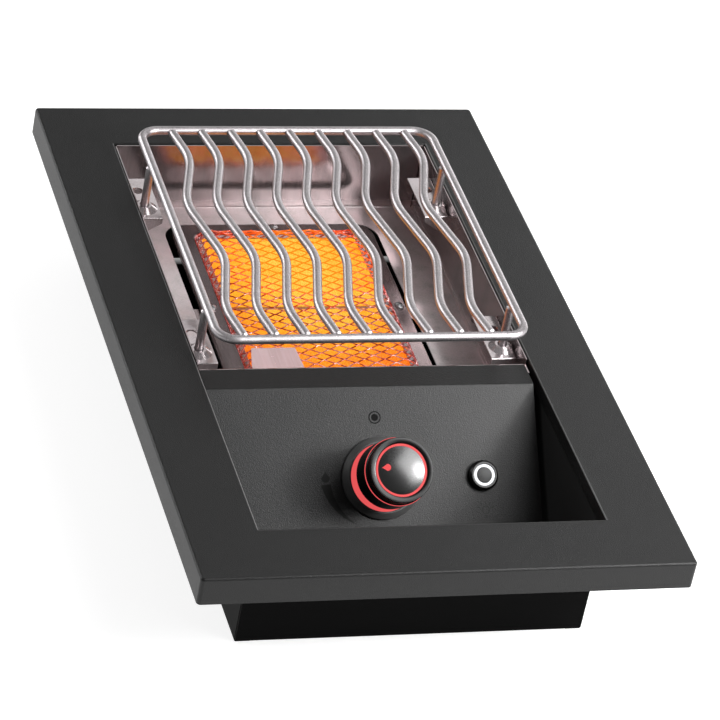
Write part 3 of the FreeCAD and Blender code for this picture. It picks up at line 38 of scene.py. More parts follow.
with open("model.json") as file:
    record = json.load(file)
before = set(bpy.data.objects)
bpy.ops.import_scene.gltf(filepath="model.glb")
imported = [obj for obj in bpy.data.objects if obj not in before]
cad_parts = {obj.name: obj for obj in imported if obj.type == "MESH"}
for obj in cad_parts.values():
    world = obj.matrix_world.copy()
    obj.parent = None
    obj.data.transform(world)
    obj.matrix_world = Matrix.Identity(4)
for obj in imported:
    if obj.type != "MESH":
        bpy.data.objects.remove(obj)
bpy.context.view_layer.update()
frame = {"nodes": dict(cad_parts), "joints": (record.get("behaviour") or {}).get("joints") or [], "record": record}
nodes = frame["nodes"]

MM = 0.001
TOUCHING = 0.001 * MM
SHARP = math.radians(28)


# Places taken from the frame

def middle(node):
    """Middle of a node's box."""
    low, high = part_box(node)
    return (low + high) / 2


joints = {joint["name"]: joint for joint in frame["joints"]}
HALF_SHEET = 0.4 * MM
BURNER = middle("burner_tray")
TILE_SEAM = (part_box("tile_front")[1].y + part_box("tile_rear")[0].y) / 2
HOT_SPOT_ASIDE = 6 * MM
HOT_SPOT = middle("tile_rear") + Vector((HOT_SPOT_ASIDE, 0.0, 0.0))
FLOOR_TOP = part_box("firebox_floor")[1].z
WALL = Vector((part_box("housing_right")[1].x - HALF_SHEET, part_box("housing_back")[1].y - HALF_SHEET))

# The trim folds down at both sides of the opening, where the powder finish paints a thin highlight along each
# fold: distance from the middle, and half the length
FOLD = Vector((0.1308, 0.2455))


# Finishes

def paint(red, green, blue):
    """A colour in linear light from 0 to 255 screen values."""
    def linear(value):
        value /= 255
        return value / 12.92 if value <= 0.04045 else ((value + 0.055) / 1.055) ** 2.4
    return (linear(red), linear(green), linear(blue), 1.0)


def grey(value):
    """A grey in linear light from a 0 to 255 screen value."""
    return paint(value, value, value)


class Level:
    """A number or colour that varies over a surface, written in ordinary maths."""

    def __init__(self, finish, socket):
        self.finish = finish
        self.socket = socket

    def maths(self, operation, *values):
        """One step of a sum, as a node."""
        return self.finish.node("Math", {"operation": operation}, dict(enumerate(values)))

    def __add__(self, other):
        return self.maths("ADD", self, other)

    def __sub__(self, other):
        return self.maths("SUBTRACT", self, other)

    def __rsub__(self, other):
        return self.maths("SUBTRACT", other, self)

    def __mul__(self, other):
        return self.maths("MULTIPLY", self, other)

    def __truediv__(self, other):
        return self.maths("DIVIDE", self, other)

    def __abs__(self):
        return self.maths("ABSOLUTE", self)


# A mixing node has sockets of the same name for numbers and for colours: these are for colours
MIX_AMOUNT = 0
MIX_FIRST = 6
MIX_SECOND = 7
MIX_COLOUR = 2

finishes = {}


class Finish:
    """One material: its shader and the patterns that vary it."""

    def __init__(self, name, **constants):
        self.material = bpy.data.materials.new(name)
        self.material.use_nodes = True
        self.tree = self.material.node_tree
        self.shader = self.tree.nodes["Principled BSDF"]
        for socket, value in constants.items():
            self.set(socket.replace("_", " "), value)
        finishes[name] = self.material

    def feed(self, socket, value):
        """Links a pattern to a socket, or sets the socket's own number or colour."""
        if isinstance(value, Level):
            self.tree.links.new(value.socket, socket)
        else:
            socket.default_value = value

    def set(self, socket, value):
        """Feeds one socket of the shader."""
        self.feed(self.shader.inputs[socket], value)

    def node(self, kind, settings=None, sockets=None, stops=None, output=0):
        """Adds a node with its settings, its ramp's stops and the values of its sockets."""
        node = self.tree.nodes.new("ShaderNode" + kind)
        for setting, value in (settings or {}).items():
            setattr(node, setting, value)
        if stops:
            ramp = node.color_ramp.elements
            while len(ramp) < len(stops):
                ramp.new(1.0)
            for element, (place, colour) in zip(ramp, stops.items()):
                element.position = place
                element.color = colour
        for socket, value in (sockets or {}).items():
            self.feed(node.inputs[socket], value)
        return Level(self, node.outputs[output])

    def place(self, scale=(1.0, 1.0, 1.0)):
        """The surface's own coordinates, closer or wider along each axis."""
        here = self.node("TexCoord", output="Object")
        return self.node("Mapping", {}, {"Vector": here, "Scale": scale})

    def axis(self, which):
        """One coordinate over the surface, in metres."""
        return self.node("SeparateXYZ", {}, {"Vector": self.place()}, output=which)

    def noise(self, scale, detail=2.0, vector=None, rough=0.5):
        """Cloudy variation from 0 to 1."""
        return self.node("TexNoise", {}, {"Vector": vector or self.place(), "Scale": scale,
                                          "Detail": detail, "Roughness": rough})

    def ramp(self, amount, stops):
        """Turns an amount into colours between stops."""
        return self.node("ValToRGB", {}, {"Fac": amount}, stops)

    def between(self, amount, low, high, start=0.0, end=1.0):
        """A number from low to high as the amount goes from start to end."""
        return self.node("MapRange", {}, {"Value": amount, "From Min": start, "From Max": end,
                                          "To Min": low, "To Max": high})

    def within(self, amount, reach, margin):
        """1 while the amount is inside a reach either way, falling to 0 over a margin."""
        return self.between(abs(amount), 1.0, 0.0, reach, reach + margin)

    def mix(self, amount, first, second):
        """Mixes two colours."""
        return self.node("Mix", {"data_type": "RGBA"},
                         {MIX_AMOUNT: amount, MIX_FIRST: first, MIX_SECOND: second}, output=MIX_COLOUR)

    def heat(self, reach_x, reach_y):
        """How hot the burner is: 1 at the hot spot, 0 at the reach and below it further out."""
        across = (self.axis("X") - HOT_SPOT.x) / reach_x
        along = (self.axis("Y") - HOT_SPOT.y) / reach_y
        return 1 - across * across - along * along

    def bump(self, height, strength, distance):
        """Raises the surface by a pattern."""
        self.set("Normal", self.node("Bump", {}, {"Height": height, "Strength": strength,
                                                  "Distance": distance}))


def charcoal_powder():
    """Baked powder: a pebbled skin with faint wipe marks, and a thin pale painted highlight along the side folds.
    """
    finish = Finish("charcoal_powder", IOR=1.34)
    pebbles = finish.noise(1300.0, detail=3.0)
    clouds = finish.noise(9.0, detail=3.0)
    wipes = finish.noise(30.0, detail=4.0, vector=finish.place((1.0, 0.25, 1.0)))
    tone = finish.between(pebbles, 0.0, 0.7, start=0.3, end=0.7) + clouds * 0.3
    skin = finish.mix(tone, grey(15), grey(27))
    # Painted highlight: a thin pale line where the sides of the opening fold down
    painted_fold_highlight = finish.within(abs(finish.axis("X")) - FOLD.x, reach=0.0002, margin=0.0004)
    painted_fold_highlight = painted_fold_highlight * finish.within(finish.axis("Y"), FOLD.y, margin=0.001)
    finish.set("Base Color", finish.mix(painted_fold_highlight, skin, grey(96)))
    finish.set("Roughness", finish.between(wipes, 0.36, 0.45))
    finish.bump(pebbles, strength=0.8, distance=0.0003)


def black_sheet():
    """Black housing sheet: deep black outside, and a lighter grey inside that is painted light."""
    finish = Finish("black_sheet", IOR=1.1)
    clouds = finish.noise(9.0, detail=3.0)
    outside = finish.mix(clouds, grey(5), grey(9))
    # Painted light: the faces inside the housing's walls get a lighter grey than the outside
    inside = finish.mix(clouds, grey(44), grey(52))
    painted_light_mask_x = finish.within(finish.axis("X"), WALL.x - 0.0001, margin=0.0002)
    painted_light_mask_y = finish.within(finish.axis("Y"), WALL.y - 0.0001, margin=0.0002)
    finish.set("Base Color", finish.mix(painted_light_mask_x * painted_light_mask_y, outside, inside))
    finish.set("Roughness", finish.between(clouds, 0.46, 0.56))
    finish.bump(finish.noise(1100.0, detail=3.0), strength=0.15, distance=0.0002)


def brushed(name, dark, light, tint, roughness, along, bright=0.85, dull=0.85, painted_wall_shade=1.0):
    """Stainless sheet brushed along one axis and tinted by heat.

    It is dull at the height of the firebox floor and bright 10 mm above it, where its colour is also
    scaled down by a factor that paints shade on the firebox sides.
    """
    finish = Finish(name)
    hairs = tuple(6.0 if axis == along else 260.0 for axis in "xyz")
    bands = tuple(3.0 if axis == along else 40.0 for axis in "xyz")
    lines = finish.noise(3.0, detail=4.0, vector=finish.place(hairs), rough=0.7)
    streaks = finish.noise(2.0, vector=finish.place(bands))
    brushing = lines * 0.5 + streaks * 0.5
    clouds = finish.noise(14.0, detail=3.0)
    colour = finish.mix(finish.between(brushing, 0.0, 1.0, start=0.3, end=0.7), dark, light)
    heated = finish.between(clouds + streaks, 0.0, 0.7, start=0.7, end=1.3)
    colour = finish.mix(heated, colour, tint)
    # Painted shade: above the firebox floor the colour is darkened by this factor
    shaded = finish.node("VectorMath", {"operation": "SCALE"}, {0: colour, "Scale": painted_wall_shade})
    climb = finish.between(finish.axis("Z"), 0.0, 1.0, start=FLOOR_TOP, end=FLOOR_TOP + 0.01)
    finish.set("Base Color", finish.mix(climb, colour, shaded))
    finish.set("Metallic", finish.between(climb, dull, bright))
    finish.set("Roughness", finish.between(lines, roughness - 0.05, roughness + 0.07))
    finish.bump(lines, strength=0.08, distance=0.0001)


def satin_wire():
    """Tumbled stainless wire: a soft sheen with a fine sparkle."""
    finish = Finish("grate_stainless", Metallic=1.0)
    clouds = finish.noise(45.0, detail=3.0)
    sparkle = finish.noise(1500.0, detail=2.0)
    tone = finish.between(sparkle, 0.0, 1.0, start=0.25, end=0.75) * 0.75 + clouds * 0.25
    finish.set("Base Color", finish.mix(tone, paint(128, 124, 126), paint(220, 214, 216)))
    finish.set("Roughness", finish.between(clouds, 0.38, 0.46))
    finish.bump(sparkle, strength=0.35, distance=0.00006)


def plain_metal(name, dark, light, roughness, grain=700.0):
    """Cast, plated or turned metal with a fine grain."""
    finish = Finish(name, Metallic=1.0)
    clouds = finish.noise(60.0, detail=4.0)
    pits = finish.noise(grain, detail=3.0)
    finish.set("Base Color", finish.mix(clouds, dark, light))
    finish.set("Roughness", finish.between(pits, roughness - 0.05, roughness + 0.1))
    finish.bump(pits, strength=0.2, distance=0.00006)


def moulded(name, dark, light, roughness, grain=900.0, depth=0.1, ior=1.45):
    """Moulded plastic, rubber, print or glaze with a little mottle."""
    finish = Finish(name, IOR=ior)
    clouds = finish.noise(80.0, detail=3.0)
    pits = finish.noise(grain, detail=2.0)
    finish.set("Base Color", finish.mix(clouds, dark, light))
    finish.set("Roughness", finish.between(clouds, roughness - 0.03, roughness + 0.04))
    finish.bump(pits, strength=depth, distance=0.00005)


def lit(name, body, glow, power):
    """Diffuser lit from behind, a little uneven."""
    finish = Finish(name, Base_Color=body, IOR=1.2, Emission_Strength=power)
    clouds = finish.noise(120.0, detail=2.0)
    dimmer = tuple(0.94 * part for part in glow[:3]) + (1.0,)
    finish.set("Emission Color", finish.mix(clouds, dimmer, glow))
    finish.set("Roughness", finish.between(clouds, 0.4, 0.5))
    finish.bump(clouds, strength=0.05, distance=0.0001)


def glowing_ceramic():
    """Perforated ceramic that glows yellow at the hot spot and orange round it."""
    finish = Finish("ceramic", IOR=1.3, Emission_Strength=1.04)
    clouds = finish.noise(60.0, detail=3.0)
    grain = finish.noise(900.0, detail=2.0)
    holes = finish.node("TexVoronoi", {"feature": "F1"},
                        {"Vector": finish.place(), "Scale": 640.0, "Randomness": 0.6})
    clay = finish.between(holes * 0.6 + grain, 0.0, 1.0, start=0.5, end=0.95)
    warmth = finish.between(finish.heat(0.10, 0.15), 0.0, 0.66) + clouds * 0.4
    ribs = finish.ramp(warmth, {0.1: paint(244, 108, 8), 0.36: paint(252, 148, 14),
                                0.62: paint(255, 182, 36), 0.9: paint(255, 212, 86)})
    pores = finish.ramp(warmth, {0.1: paint(206, 58, 4), 0.36: paint(236, 100, 6),
                                 0.62: paint(250, 142, 16), 0.9: paint(255, 168, 34)})
    finish.set("Emission Color", finish.mix(clay, pores, ribs))
    finish.set("Base Color", finish.mix(clay, paint(60, 20, 8), paint(150, 90, 50)))
    finish.set("Roughness", finish.between(clouds, 0.8, 0.9))
    finish.bump(clay, strength=0.5, distance=0.0003)


def hot_mesh():
    """Heat stained mesh: glows at the hot spot, dark red with pale glints towards its rim."""
    finish = Finish("mesh_steel", Metallic=1.0, Emission_Strength=1.0)
    clouds = finish.noise(90.0, detail=3.0)
    glints = finish.noise(260.0, detail=2.0)
    seam = finish.within(finish.axis("Y") - TILE_SEAM, reach=0.0, margin=0.004)
    heat = finish.between(finish.heat(0.070, 0.066) + clouds * 0.4 - seam * 0.6, 0.0, 1.0)
    glow = finish.ramp(heat, {0.0: paint(120, 26, 14), 0.3: paint(196, 44, 8),
                              0.6: paint(236, 86, 10), 1.0: paint(250, 138, 16)})
    steel = finish.ramp(glints, {0.38: paint(110, 30, 34), 0.5: paint(230, 160, 160),
                                 0.62: paint(255, 240, 244)})
    finish.set("Base Color", finish.mix(heat, steel, paint(110, 40, 20)))
    finish.set("Emission Color", glow)
    finish.set("Roughness", finish.between(clouds, 0.22, 0.4))
    finish.bump(finish.noise(1500.0), strength=0.2, distance=0.0001)


def sheet_finishes():
    """Trim, panel, housing, firebox, ledges and grate."""
    charcoal_powder()
    black_sheet()
    # The liner's sides are darkened to 0.6 as painted shade
    brushed("liner_stainless", paint(162, 156, 156), paint(222, 216, 216), paint(200, 178, 180),
            roughness=0.14, along="z", bright=0.9, dull=0.45, painted_wall_shade=0.6)
    brushed("bracket_stainless", paint(164, 156, 157), paint(206, 199, 200), paint(186, 176, 178),
            roughness=0.17, along="z")
    satin_wire()


def burner_finishes():
    """Tray, tiles, mesh and the igniter's cover."""
    brushed("burner_steel", paint(128, 120, 120), paint(182, 172, 172), paint(168, 148, 150),
            roughness=0.2, along="y")
    # A lighter copy of the burner steel for the igniter's cover: its extra lightness is painted light
    brushed("painted_light_cover_steel", paint(190, 158, 160), paint(226, 208, 208), paint(220, 180, 184),
            roughness=0.24, along="y", bright=0.5, dull=0.5)
    hot_mesh()
    glowing_ceramic()
    moulded("ceramic_glazed", paint(226, 222, 212), paint(238, 235, 226), roughness=0.2)
    moulded("ceramic_fibre", paint(150, 110, 90), paint(180, 140, 120), 0.9, grain=500.0, depth=0.8)


def control_finishes():
    """Knob, button, their lights and the marks round them."""
    moulded("knob_black", grey(8), grey(13), 0.24, grain=1400.0, depth=0.06, ior=1.4)
    moulded("knob_gloss", grey(12), grey(22), 0.26, grain=1600.0, depth=0.3, ior=1.65)
    moulded("knob_satin", grey(58), grey(70), 0.42, grain=1300.0, depth=0.2, ior=1.38)
    moulded("cap_satin", grey(34), grey(44), 0.4, grain=1300.0, depth=0.2, ior=1.38)
    moulded("dark_print", grey(14), grey(20), 0.6, grain=1400.0, depth=0.1, ior=1.12)
    moulded("faint_print", grey(18), grey(24), 0.5, grain=1400.0, depth=0.1, ior=1.22)
    plain_metal("dark_chrome", grey(38), grey(46), 0.2, grain=1600.0)
    lit("red_light", paint(90, 12, 12), paint(232, 88, 90), power=1.0)
    lit("white_light", paint(120, 122, 126), paint(250, 252, 255), power=1.1)


def hidden_finishes():
    """Screws, gas parts and ignition."""
    plain_metal("zinc_steel", paint(160, 160, 162), paint(206, 206, 208), 0.28)
    plain_metal("brass", paint(168, 128, 62), paint(206, 168, 92), 0.28)
    plain_metal("valve_alloy", paint(150, 151, 153), paint(190, 191, 193), 0.42, grain=420.0)
    moulded("nylon_black", paint(24, 24, 25), paint(34, 34, 36), 0.5, grain=500.0, depth=0.3)
    moulded("lead_rubber", paint(128, 34, 26), paint(148, 44, 34), 0.45, grain=600.0, depth=0.2)


def dress(piece, finish):
    """Gives a piece its one finish."""
    piece.data.materials.clear()
    piece.data.materials.append(finishes[finish])


sheet_finishes()
burner_finishes()
control_finishes()
hidden_finishes()
for part in frame["record"]["subparts"]:
    dress(nodes[part["node"]], part["material_slot"])
# The igniter's cover takes the lighter copy of the steel, painted light
dress(nodes["igniter_cover"], "painted_light_cover_steel")


# Making pieces

def made(bm, name, body, slot, *stands_for, finish=None):
    """Turns a finished shape into a piece that rides on a body and may stand for nodes."""
    bmesh.ops.remove_doubles(bm, verts=bm.verts, dist=TOUCHING)
    bmesh.ops.recalc_face_normals(bm, faces=bm.faces)
    mesh = bpy.data.meshes.new(name)
    bm.to_mesh(mesh)
    bm.free()
    mesh.shade_smooth()
    mesh.set_sharp_from_angle(angle=SHARP)
    piece = bpy.data.objects.new(name, mesh)
    bpy.context.scene.collection.objects.link(piece)
    dress(piece, finish or slot)
    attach(piece, body)
    if stands_for:
        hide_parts(*stands_for)
    return piece


def verts_of(geometry):
    """The points among the mixed parts that a mesh operator gives back."""
    return [part for part in geometry if isinstance(part, bmesh.types.BMVert)]


def control_place(control, across=0.0, up=0.0, out=0.0):
    """Foot of a control on the panel: X across, Y up the slope, Z out along the knob's axis."""
    away = Vector(joints["knob_turn"]["axis"])
    foot = Vector(joints["knob_turn"]["pos_m"])
    foot.x = middle(control).x
    side = Vector((1, 0, 0))
    turn = Matrix((side, away.cross(side), away)).transposed().to_4x4()
    return Matrix.Translation(foot) @ turn @ Matrix.Translation(Vector((across, up, out)) * MM)


# Burner screen

COLUMNS = 9
ROWS = 22
STRAND = 0.5 * MM
STRAND_SHEET = 0.7 * MM
STRAND_TWIST = math.radians(10)
FLANK_SLOPE = math.radians(53)
BEND = 3.5 * MM
BEND_RUN = BEND * FLANK_SLOPE
BUCKLE = 0.3 * MM
SEAM_DIP = 0.7 * MM
SEAM_WIDTH = 2.2 * MM
WAVES_X = 90
WAVES_Y = 70


def screen_sheet():
    """Flat sheet of diamonds, two units wide, that become the openings."""
    bm = bmesh.new()
    bmesh.ops.create_grid(bm, x_segments=COLUMNS, y_segments=ROWS, size=1.0)
    corners = set(bm.verts)
    bmesh.ops.poke(bm, faces=bm.faces[:])
    inner = [edge for edge in bm.edges if set(edge.verts) <= corners and not edge.is_boundary]
    bmesh.ops.dissolve_edges(bm, edges=inner, use_verts=False)
    return bm


def lean_openings(bm):
    """Cuts the openings and leans the strands round each of them, as in expanded metal."""
    openings = bm.faces[:]
    bmesh.ops.inset_individual(bm, faces=openings, thickness=STRAND, use_even_offset=True)
    for opening in openings:
        bmesh.ops.rotate(bm, cent=opening.calc_center_median(), verts=opening.verts,
                         matrix=Matrix.Rotation(STRAND_TWIST, 3, "X"))
    bmesh.ops.delete(bm, geom=openings, context="FACES")


def over_the_bend(run):
    """How far out and down the sheet gets, that far past the edge of its flat top."""
    turn = min(run, BEND_RUN) / BEND
    beyond = max(run - BEND_RUN, 0.0)
    return (BEND * math.sin(turn) + beyond * math.cos(FLANK_SLOPE),
            BEND * (1 - math.cos(turn)) + beyond * math.sin(FLANK_SLOPE))


def buckle(x, y):
    """Slight waves of the hot sheet and its dip over the seam between the tiles."""
    waves = BUCKLE * math.sin(x * WAVES_X) * math.sin(y * WAVES_Y + 1.0)
    return waves - SEAM_DIP * math.exp(-(y / SEAM_WIDTH) ** 2)


def burner_screen():
    """Raised diamond mesh over the tiles: flat on top, rounded shoulders and sloping flanks."""
    low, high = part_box("burner_mesh")
    rise = high.z - low.z - STRAND_SHEET
    run = BEND_RUN + (rise - BEND * (1 - math.cos(FLANK_SLOPE))) / math.sin(FLANK_SLOPE)
    reach = over_the_bend(run)[0]
    flat = Vector(((high.x - low.x) / 2 - reach, (high.y - low.y) / 2 - reach))
    bm = screen_sheet()
    bmesh.ops.scale(bm, vec=(flat.x + run, flat.y + run, 1.0), verts=bm.verts)
    lean_openings(bm)
    for vert in bm.verts:
        x, y, z = vert.co
        past = Vector((max(abs(x) - flat.x, 0.0), max(abs(y) - flat.y, 0.0)))
        far, fall = over_the_bend(max(past))
        out = past.normalized() * far
        lift = buckle(x, y) * max(0.0, 1 - max(past) / run)
        vert.co = (math.copysign(min(abs(x), flat.x) + out.x, x),
                   BURNER.y + math.copysign(min(abs(y), flat.y) + out.y, y),
                   low.z + rise + z + lift - fall)
    piece = made(bm, "burner_screen", "case", "mesh_steel", "burner_mesh")
    sheet = piece.modifiers.new("sheet", "SOLIDIFY")
    sheet.thickness = STRAND_SHEET
    sheet.offset = 1.0


burner_screen()


# Screws

SCREW_HEAD = 4.0
SCREW_RISE = 2.2
SCREW_RIM = 0.25
SCREW_SHANK = 2.0
SCREW_LENGTH = 6.0
SCREW_TURN = 0.35
HEAD_CELLS = 7
HEAD_DOME = 0.98
RECESS_REACH = 0.7
RECESS_HALF = 0.1
RECESS_DEPTH = 0.5

# Distance from the tray's middle, depth below its top, and lean of the tray there
SIDE_SCREW = (77.0, 1.68, math.radians(13.5))
END_SCREW = (109.6, 1.43, math.radians(9.9))


def in_recess(face):
    """Whether a cell of the flat head belongs to the cross recess."""
    spot = face.calc_center_median()
    return min(abs(spot.x), abs(spot.y)) < RECESS_HALF and spot.length < RECESS_REACH


def screw_head(bm, place):
    """Domed head with a cross recess, on its shank."""
    start = set(bm.verts)
    bmesh.ops.create_grid(bm, x_segments=HEAD_CELLS, y_segments=HEAD_CELLS, size=1.0)
    head = [vert for vert in bm.verts if vert not in start]
    cross = [face for face in {face for vert in head for face in vert.link_faces} if in_recess(face)]
    for vert in head:
        x, y, _ = vert.co
        across = max(abs(x), abs(y))
        shrink = across / math.hypot(x, y)
        swell = SCREW_RIM + (1 - SCREW_RIM) * math.sqrt(1 - (HEAD_DOME * across) ** 2)
        vert.co = Vector((x * shrink * SCREW_HEAD, y * shrink * SCREW_HEAD, swell * SCREW_RISE)) * MM
    rim = [edge for edge in bm.edges if edge.is_boundary and edge.verts[0] not in start]
    sunk = bmesh.ops.extrude_face_region(bm, geom=cross)["geom"]
    bmesh.ops.delete(bm, geom=cross, context="FACES_KEEP_BOUNDARY")
    bmesh.ops.translate(bm, vec=(0, 0, -RECESS_DEPTH * SCREW_RISE * MM), verts=verts_of(sunk))
    for radius, height in ((SCREW_HEAD, 0.0), (SCREW_SHANK, 0.0), (SCREW_SHANK, -SCREW_LENGTH)):
        lower = bmesh.ops.extrude_edge_only(bm, edges=rim)["geom"]
        rim = [part for part in lower if isinstance(part, bmesh.types.BMEdge)]
        for vert in verts_of(lower):
            flat = Vector(vert.co.xy).normalized() * radius
            vert.co = Vector((flat.x, flat.y, height)) * MM
    bmesh.ops.edgeloop_fill(bm, edges=rim)
    fresh = [vert for vert in bm.verts if vert not in start]
    bmesh.ops.transform(bm, matrix=place, verts=fresh)


def tray_screws():
    """The four screws that hold the tray to its straps, turned as they were left."""
    bm = bmesh.new()
    tray_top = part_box("burner_tray")[1].z
    for quarter in range(4):
        out, sunk, lean = END_SCREW if quarter % 2 else SIDE_SCREW
        screw_head(bm, Matrix.Translation((BURNER.x, BURNER.y, tray_top))
                   @ Matrix.Rotation(quarter * math.pi / 2, 4, "Z")
                   @ Matrix.Translation((out * MM, 0.0, -sunk * MM))
                   @ Matrix.Rotation(lean, 4, "Y")
                   @ Matrix.Rotation(SCREW_TURN + quarter, 4, "Z"))
    made(bm, "tray_screws", "case", "zinc_steel", "burner_screws")


tray_screws()


# Marks on the panel and the knob, printed in a thin layer whose root is in the surface

PRINT = 0.08
PRINT_ROOT = 0.03
LAMP_PRINT = 0.05
POINTER_PRINT = 0.2
POINTER_ROOT = 0.08

# Places across the panel and up its slope, from the foot of the nearest control
OFF_PLACE = (-2.6, 45.6)
HIGH_PLACE = (-43.4, 1.2)
LAMP_PLACE = (1.0, -25.7)
POINTER_PLACE = (-11.2, 2.1)

WEDGE_INNER = 39.7
WEDGE_OUTER = 47.4
WEDGE_TAPER = 7.5
WEDGE_START = math.radians(5)
WEDGE_SWEEP = math.radians(53)

DOME_RADIUS = 57.97
DOME_TOP = 51.0


def crown(reach):
    """Height of the knob's domed face that far from its middle."""
    return DOME_TOP - DOME_RADIUS + math.sqrt(DOME_RADIUS ** 2 - reach ** 2)


def thicken(bm, height):
    """Gives flat shapes a little body."""
    top = bmesh.ops.extrude_face_region(bm, geom=bm.faces[:])["geom"]
    bmesh.ops.translate(bm, vec=(0, 0, height * MM), verts=verts_of(top))


def printed(bm, control, place, name, ink, height=PRINT):
    """Prints flat shapes on the panel near a control."""
    thicken(bm, height)
    bmesh.ops.transform(bm, matrix=control_place(control, *place, -PRINT_ROOT), verts=bm.verts)
    made(bm, name, "case", "knob_satin", finish=ink)


def disc(bm, radius, steps=48):
    """Flat disc; gives back its faces."""
    start = set(bm.faces)
    bmesh.ops.create_circle(bm, cap_ends=True, radius=radius * MM, segments=steps)
    return [face for face in bm.faces if face not in start]


def ring(bm, outer, width):
    """Flat ring."""
    inside = disc(bm, outer)
    bmesh.ops.inset_region(bm, faces=inside, thickness=width * MM, use_even_offset=True,
                           use_boundary=True)
    bmesh.ops.delete(bm, geom=inside, context="FACES_ONLY")


def drop(bm, radius, stretch, steps):
    """Flat drop with its point up the slope."""
    disc(bm, radius, steps)
    for vert in bm.verts:
        if vert.co.y > 0:
            vert.co.x *= 1 - vert.co.y / (radius * MM)
            vert.co.y *= stretch


def bar(bm, width, height, up, turn=0.0):
    """Flat bar above the middle, turned about it."""
    start = set(bm.verts)
    bmesh.ops.create_grid(bm, x_segments=1, y_segments=1, size=0.5)
    fresh = [vert for vert in bm.verts if vert not in start]
    place = (Matrix.Rotation(turn, 4, "Z") @ Matrix.Translation((0, up * MM, 0))
             @ Matrix.Diagonal((width * MM, height * MM, 1, 1)))
    bmesh.ops.transform(bm, matrix=place, verts=fresh)


def off_mark():
    """Ring with a dot above the knob: the off position."""
    bm = bmesh.new()
    ring(bm, outer=4.8, width=0.9)
    disc(bm, radius=2.7)
    printed(bm, "knob_face", OFF_PLACE, "off_mark", "dark_print")


def high_mark():
    """Plain drop at the knob's left: the high position."""
    bm = bmesh.new()
    drop(bm, radius=3.4, stretch=1.5, steps=32)
    printed(bm, "knob_face", HIGH_PLACE, "high_mark", "faint_print")


def flame_wedge():
    """Arc round the knob that widens towards the high position."""
    bm = bmesh.new()
    ends = [bm.verts.new((-reach * MM, 0, 0)) for reach in (WEDGE_INNER, WEDGE_OUTER)]
    edge = bm.edges.new(ends)
    bmesh.ops.rotate(bm, verts=ends, matrix=Matrix.Rotation(WEDGE_START, 3, "Z"))
    bmesh.ops.spin(bm, geom=ends + [edge], cent=(0, 0, 0), axis=(0, 0, 1), angle=WEDGE_SWEEP,
                   steps=24)
    for vert in bm.verts:
        swept = (math.atan2(-vert.co.y, -vert.co.x) - WEDGE_START) / WEDGE_SWEEP
        reach = vert.co.length / MM
        if reach > (WEDGE_INNER + WEDGE_OUTER) / 2:
            vert.co *= (WEDGE_OUTER - WEDGE_TAPER * swept) / reach
    printed(bm, "knob_face", (0.0, 0.0), "flame_wedge", "faint_print")


def lamp_mark():
    """Small lamp with rays under the button."""
    bm = bmesh.new()
    ring(bm, outer=3.1, width=0.45)
    for turn in (-70, -35, 0, 35, 70):
        bar(bm, width=0.5, height=2.4, up=5.6, turn=math.radians(turn))
    for up, width in ((-4.2, 2.15), (-5.4, 1.85)):
        bar(bm, width, height=0.5, up=up)
    printed(bm, "button_cap", LAMP_PLACE, "lamp_mark", "faint_print", LAMP_PRINT)


def pointer():
    """Red drop on the knob's face, with its point towards the knob's edge."""
    bm = bmesh.new()
    drop(bm, radius=2.6, stretch=1.6, steps=24)
    across, up = POINTER_PLACE
    place = Matrix.Translation((across * MM, up * MM, 0)) @ Matrix.Rotation(math.pi / 2, 4, "Z")
    bmesh.ops.transform(bm, matrix=place, verts=bm.verts)
    thicken(bm, POINTER_PRINT)
    for vert in bm.verts:
        vert.co.z += (crown(Vector(vert.co.xy).length / MM) - POINTER_ROOT) * MM
    bmesh.ops.transform(bm, matrix=control_place("knob_face"), verts=bm.verts)
    made(bm, "pointer", "knob", "red_light")


off_mark()
high_mark()
flame_wedge()
lamp_mark()
pointer()


# Turned controls with softened edges. Their sections are points of radius and height above the
# panel, along the control's own axis.

TURN_STEPS = 96
DOME_STEPS = 14

DISH_HOLE = 12.0
DISH_RADIUS = 31.0
DISH_EDGE = 2.4
DISH_BRIM = 27.0
DISH_WELL = 25.6
DISH_FLOOR = 4.0
DISH_TOP = 6.4
DISH_GLOW_TOP = 5.6

CAP_SEAT = 21.9
CAP_BACK = 38.6
CAP_LIP = 25.0
CAP_LIP_BACK = 39.3
CAP_LIP_FRONT = 40.2
CAP_RADIUS = 24.3
CAP_WELL = 20.1
FACE_SEAT = 46.0
FACE_RADIUS = 17.8
FACE_GLOW_FRONT = 48.2
RING_SEAT = 47.4
RING_INNER = 19.7
RING_FRONT = 49.0

BUTTON_BARREL = 9.4
BUTTON_FLANGE = 11.5
BUTTON_FLANGE_TOP = 3.2
BUTTON_DEPTH = 30.0
BUTTON_BORE = 6.2
BUTTON_BORE_DEPTH = 8.0
BUTTON_WELL = 8.1
BUTTON_LEDGE = 3.4
BUTTON_TOP = 5.2
BUTTON_CAP = 5.9
BUTTON_CAP_DEPTH = 6.0
BUTTON_CAP_TOP = 5.4


def band(inner, outer, low, high):
    """Square section between two radii and two heights."""
    return [(inner, low), (outer, low), (outer, high), (inner, high)]


def round_edges(bm, width):
    """Rounds every sharp edge a little, so that it catches the light."""
    sharp = [edge for edge in bm.edges if edge.is_manifold and edge.calc_face_angle() > SHARP]
    bmesh.ops.bevel(bm, geom=sharp, offset=width * MM, affect="EDGES", segments=3, profile=0.5,
                    material=-1, clamp_overlap=True)


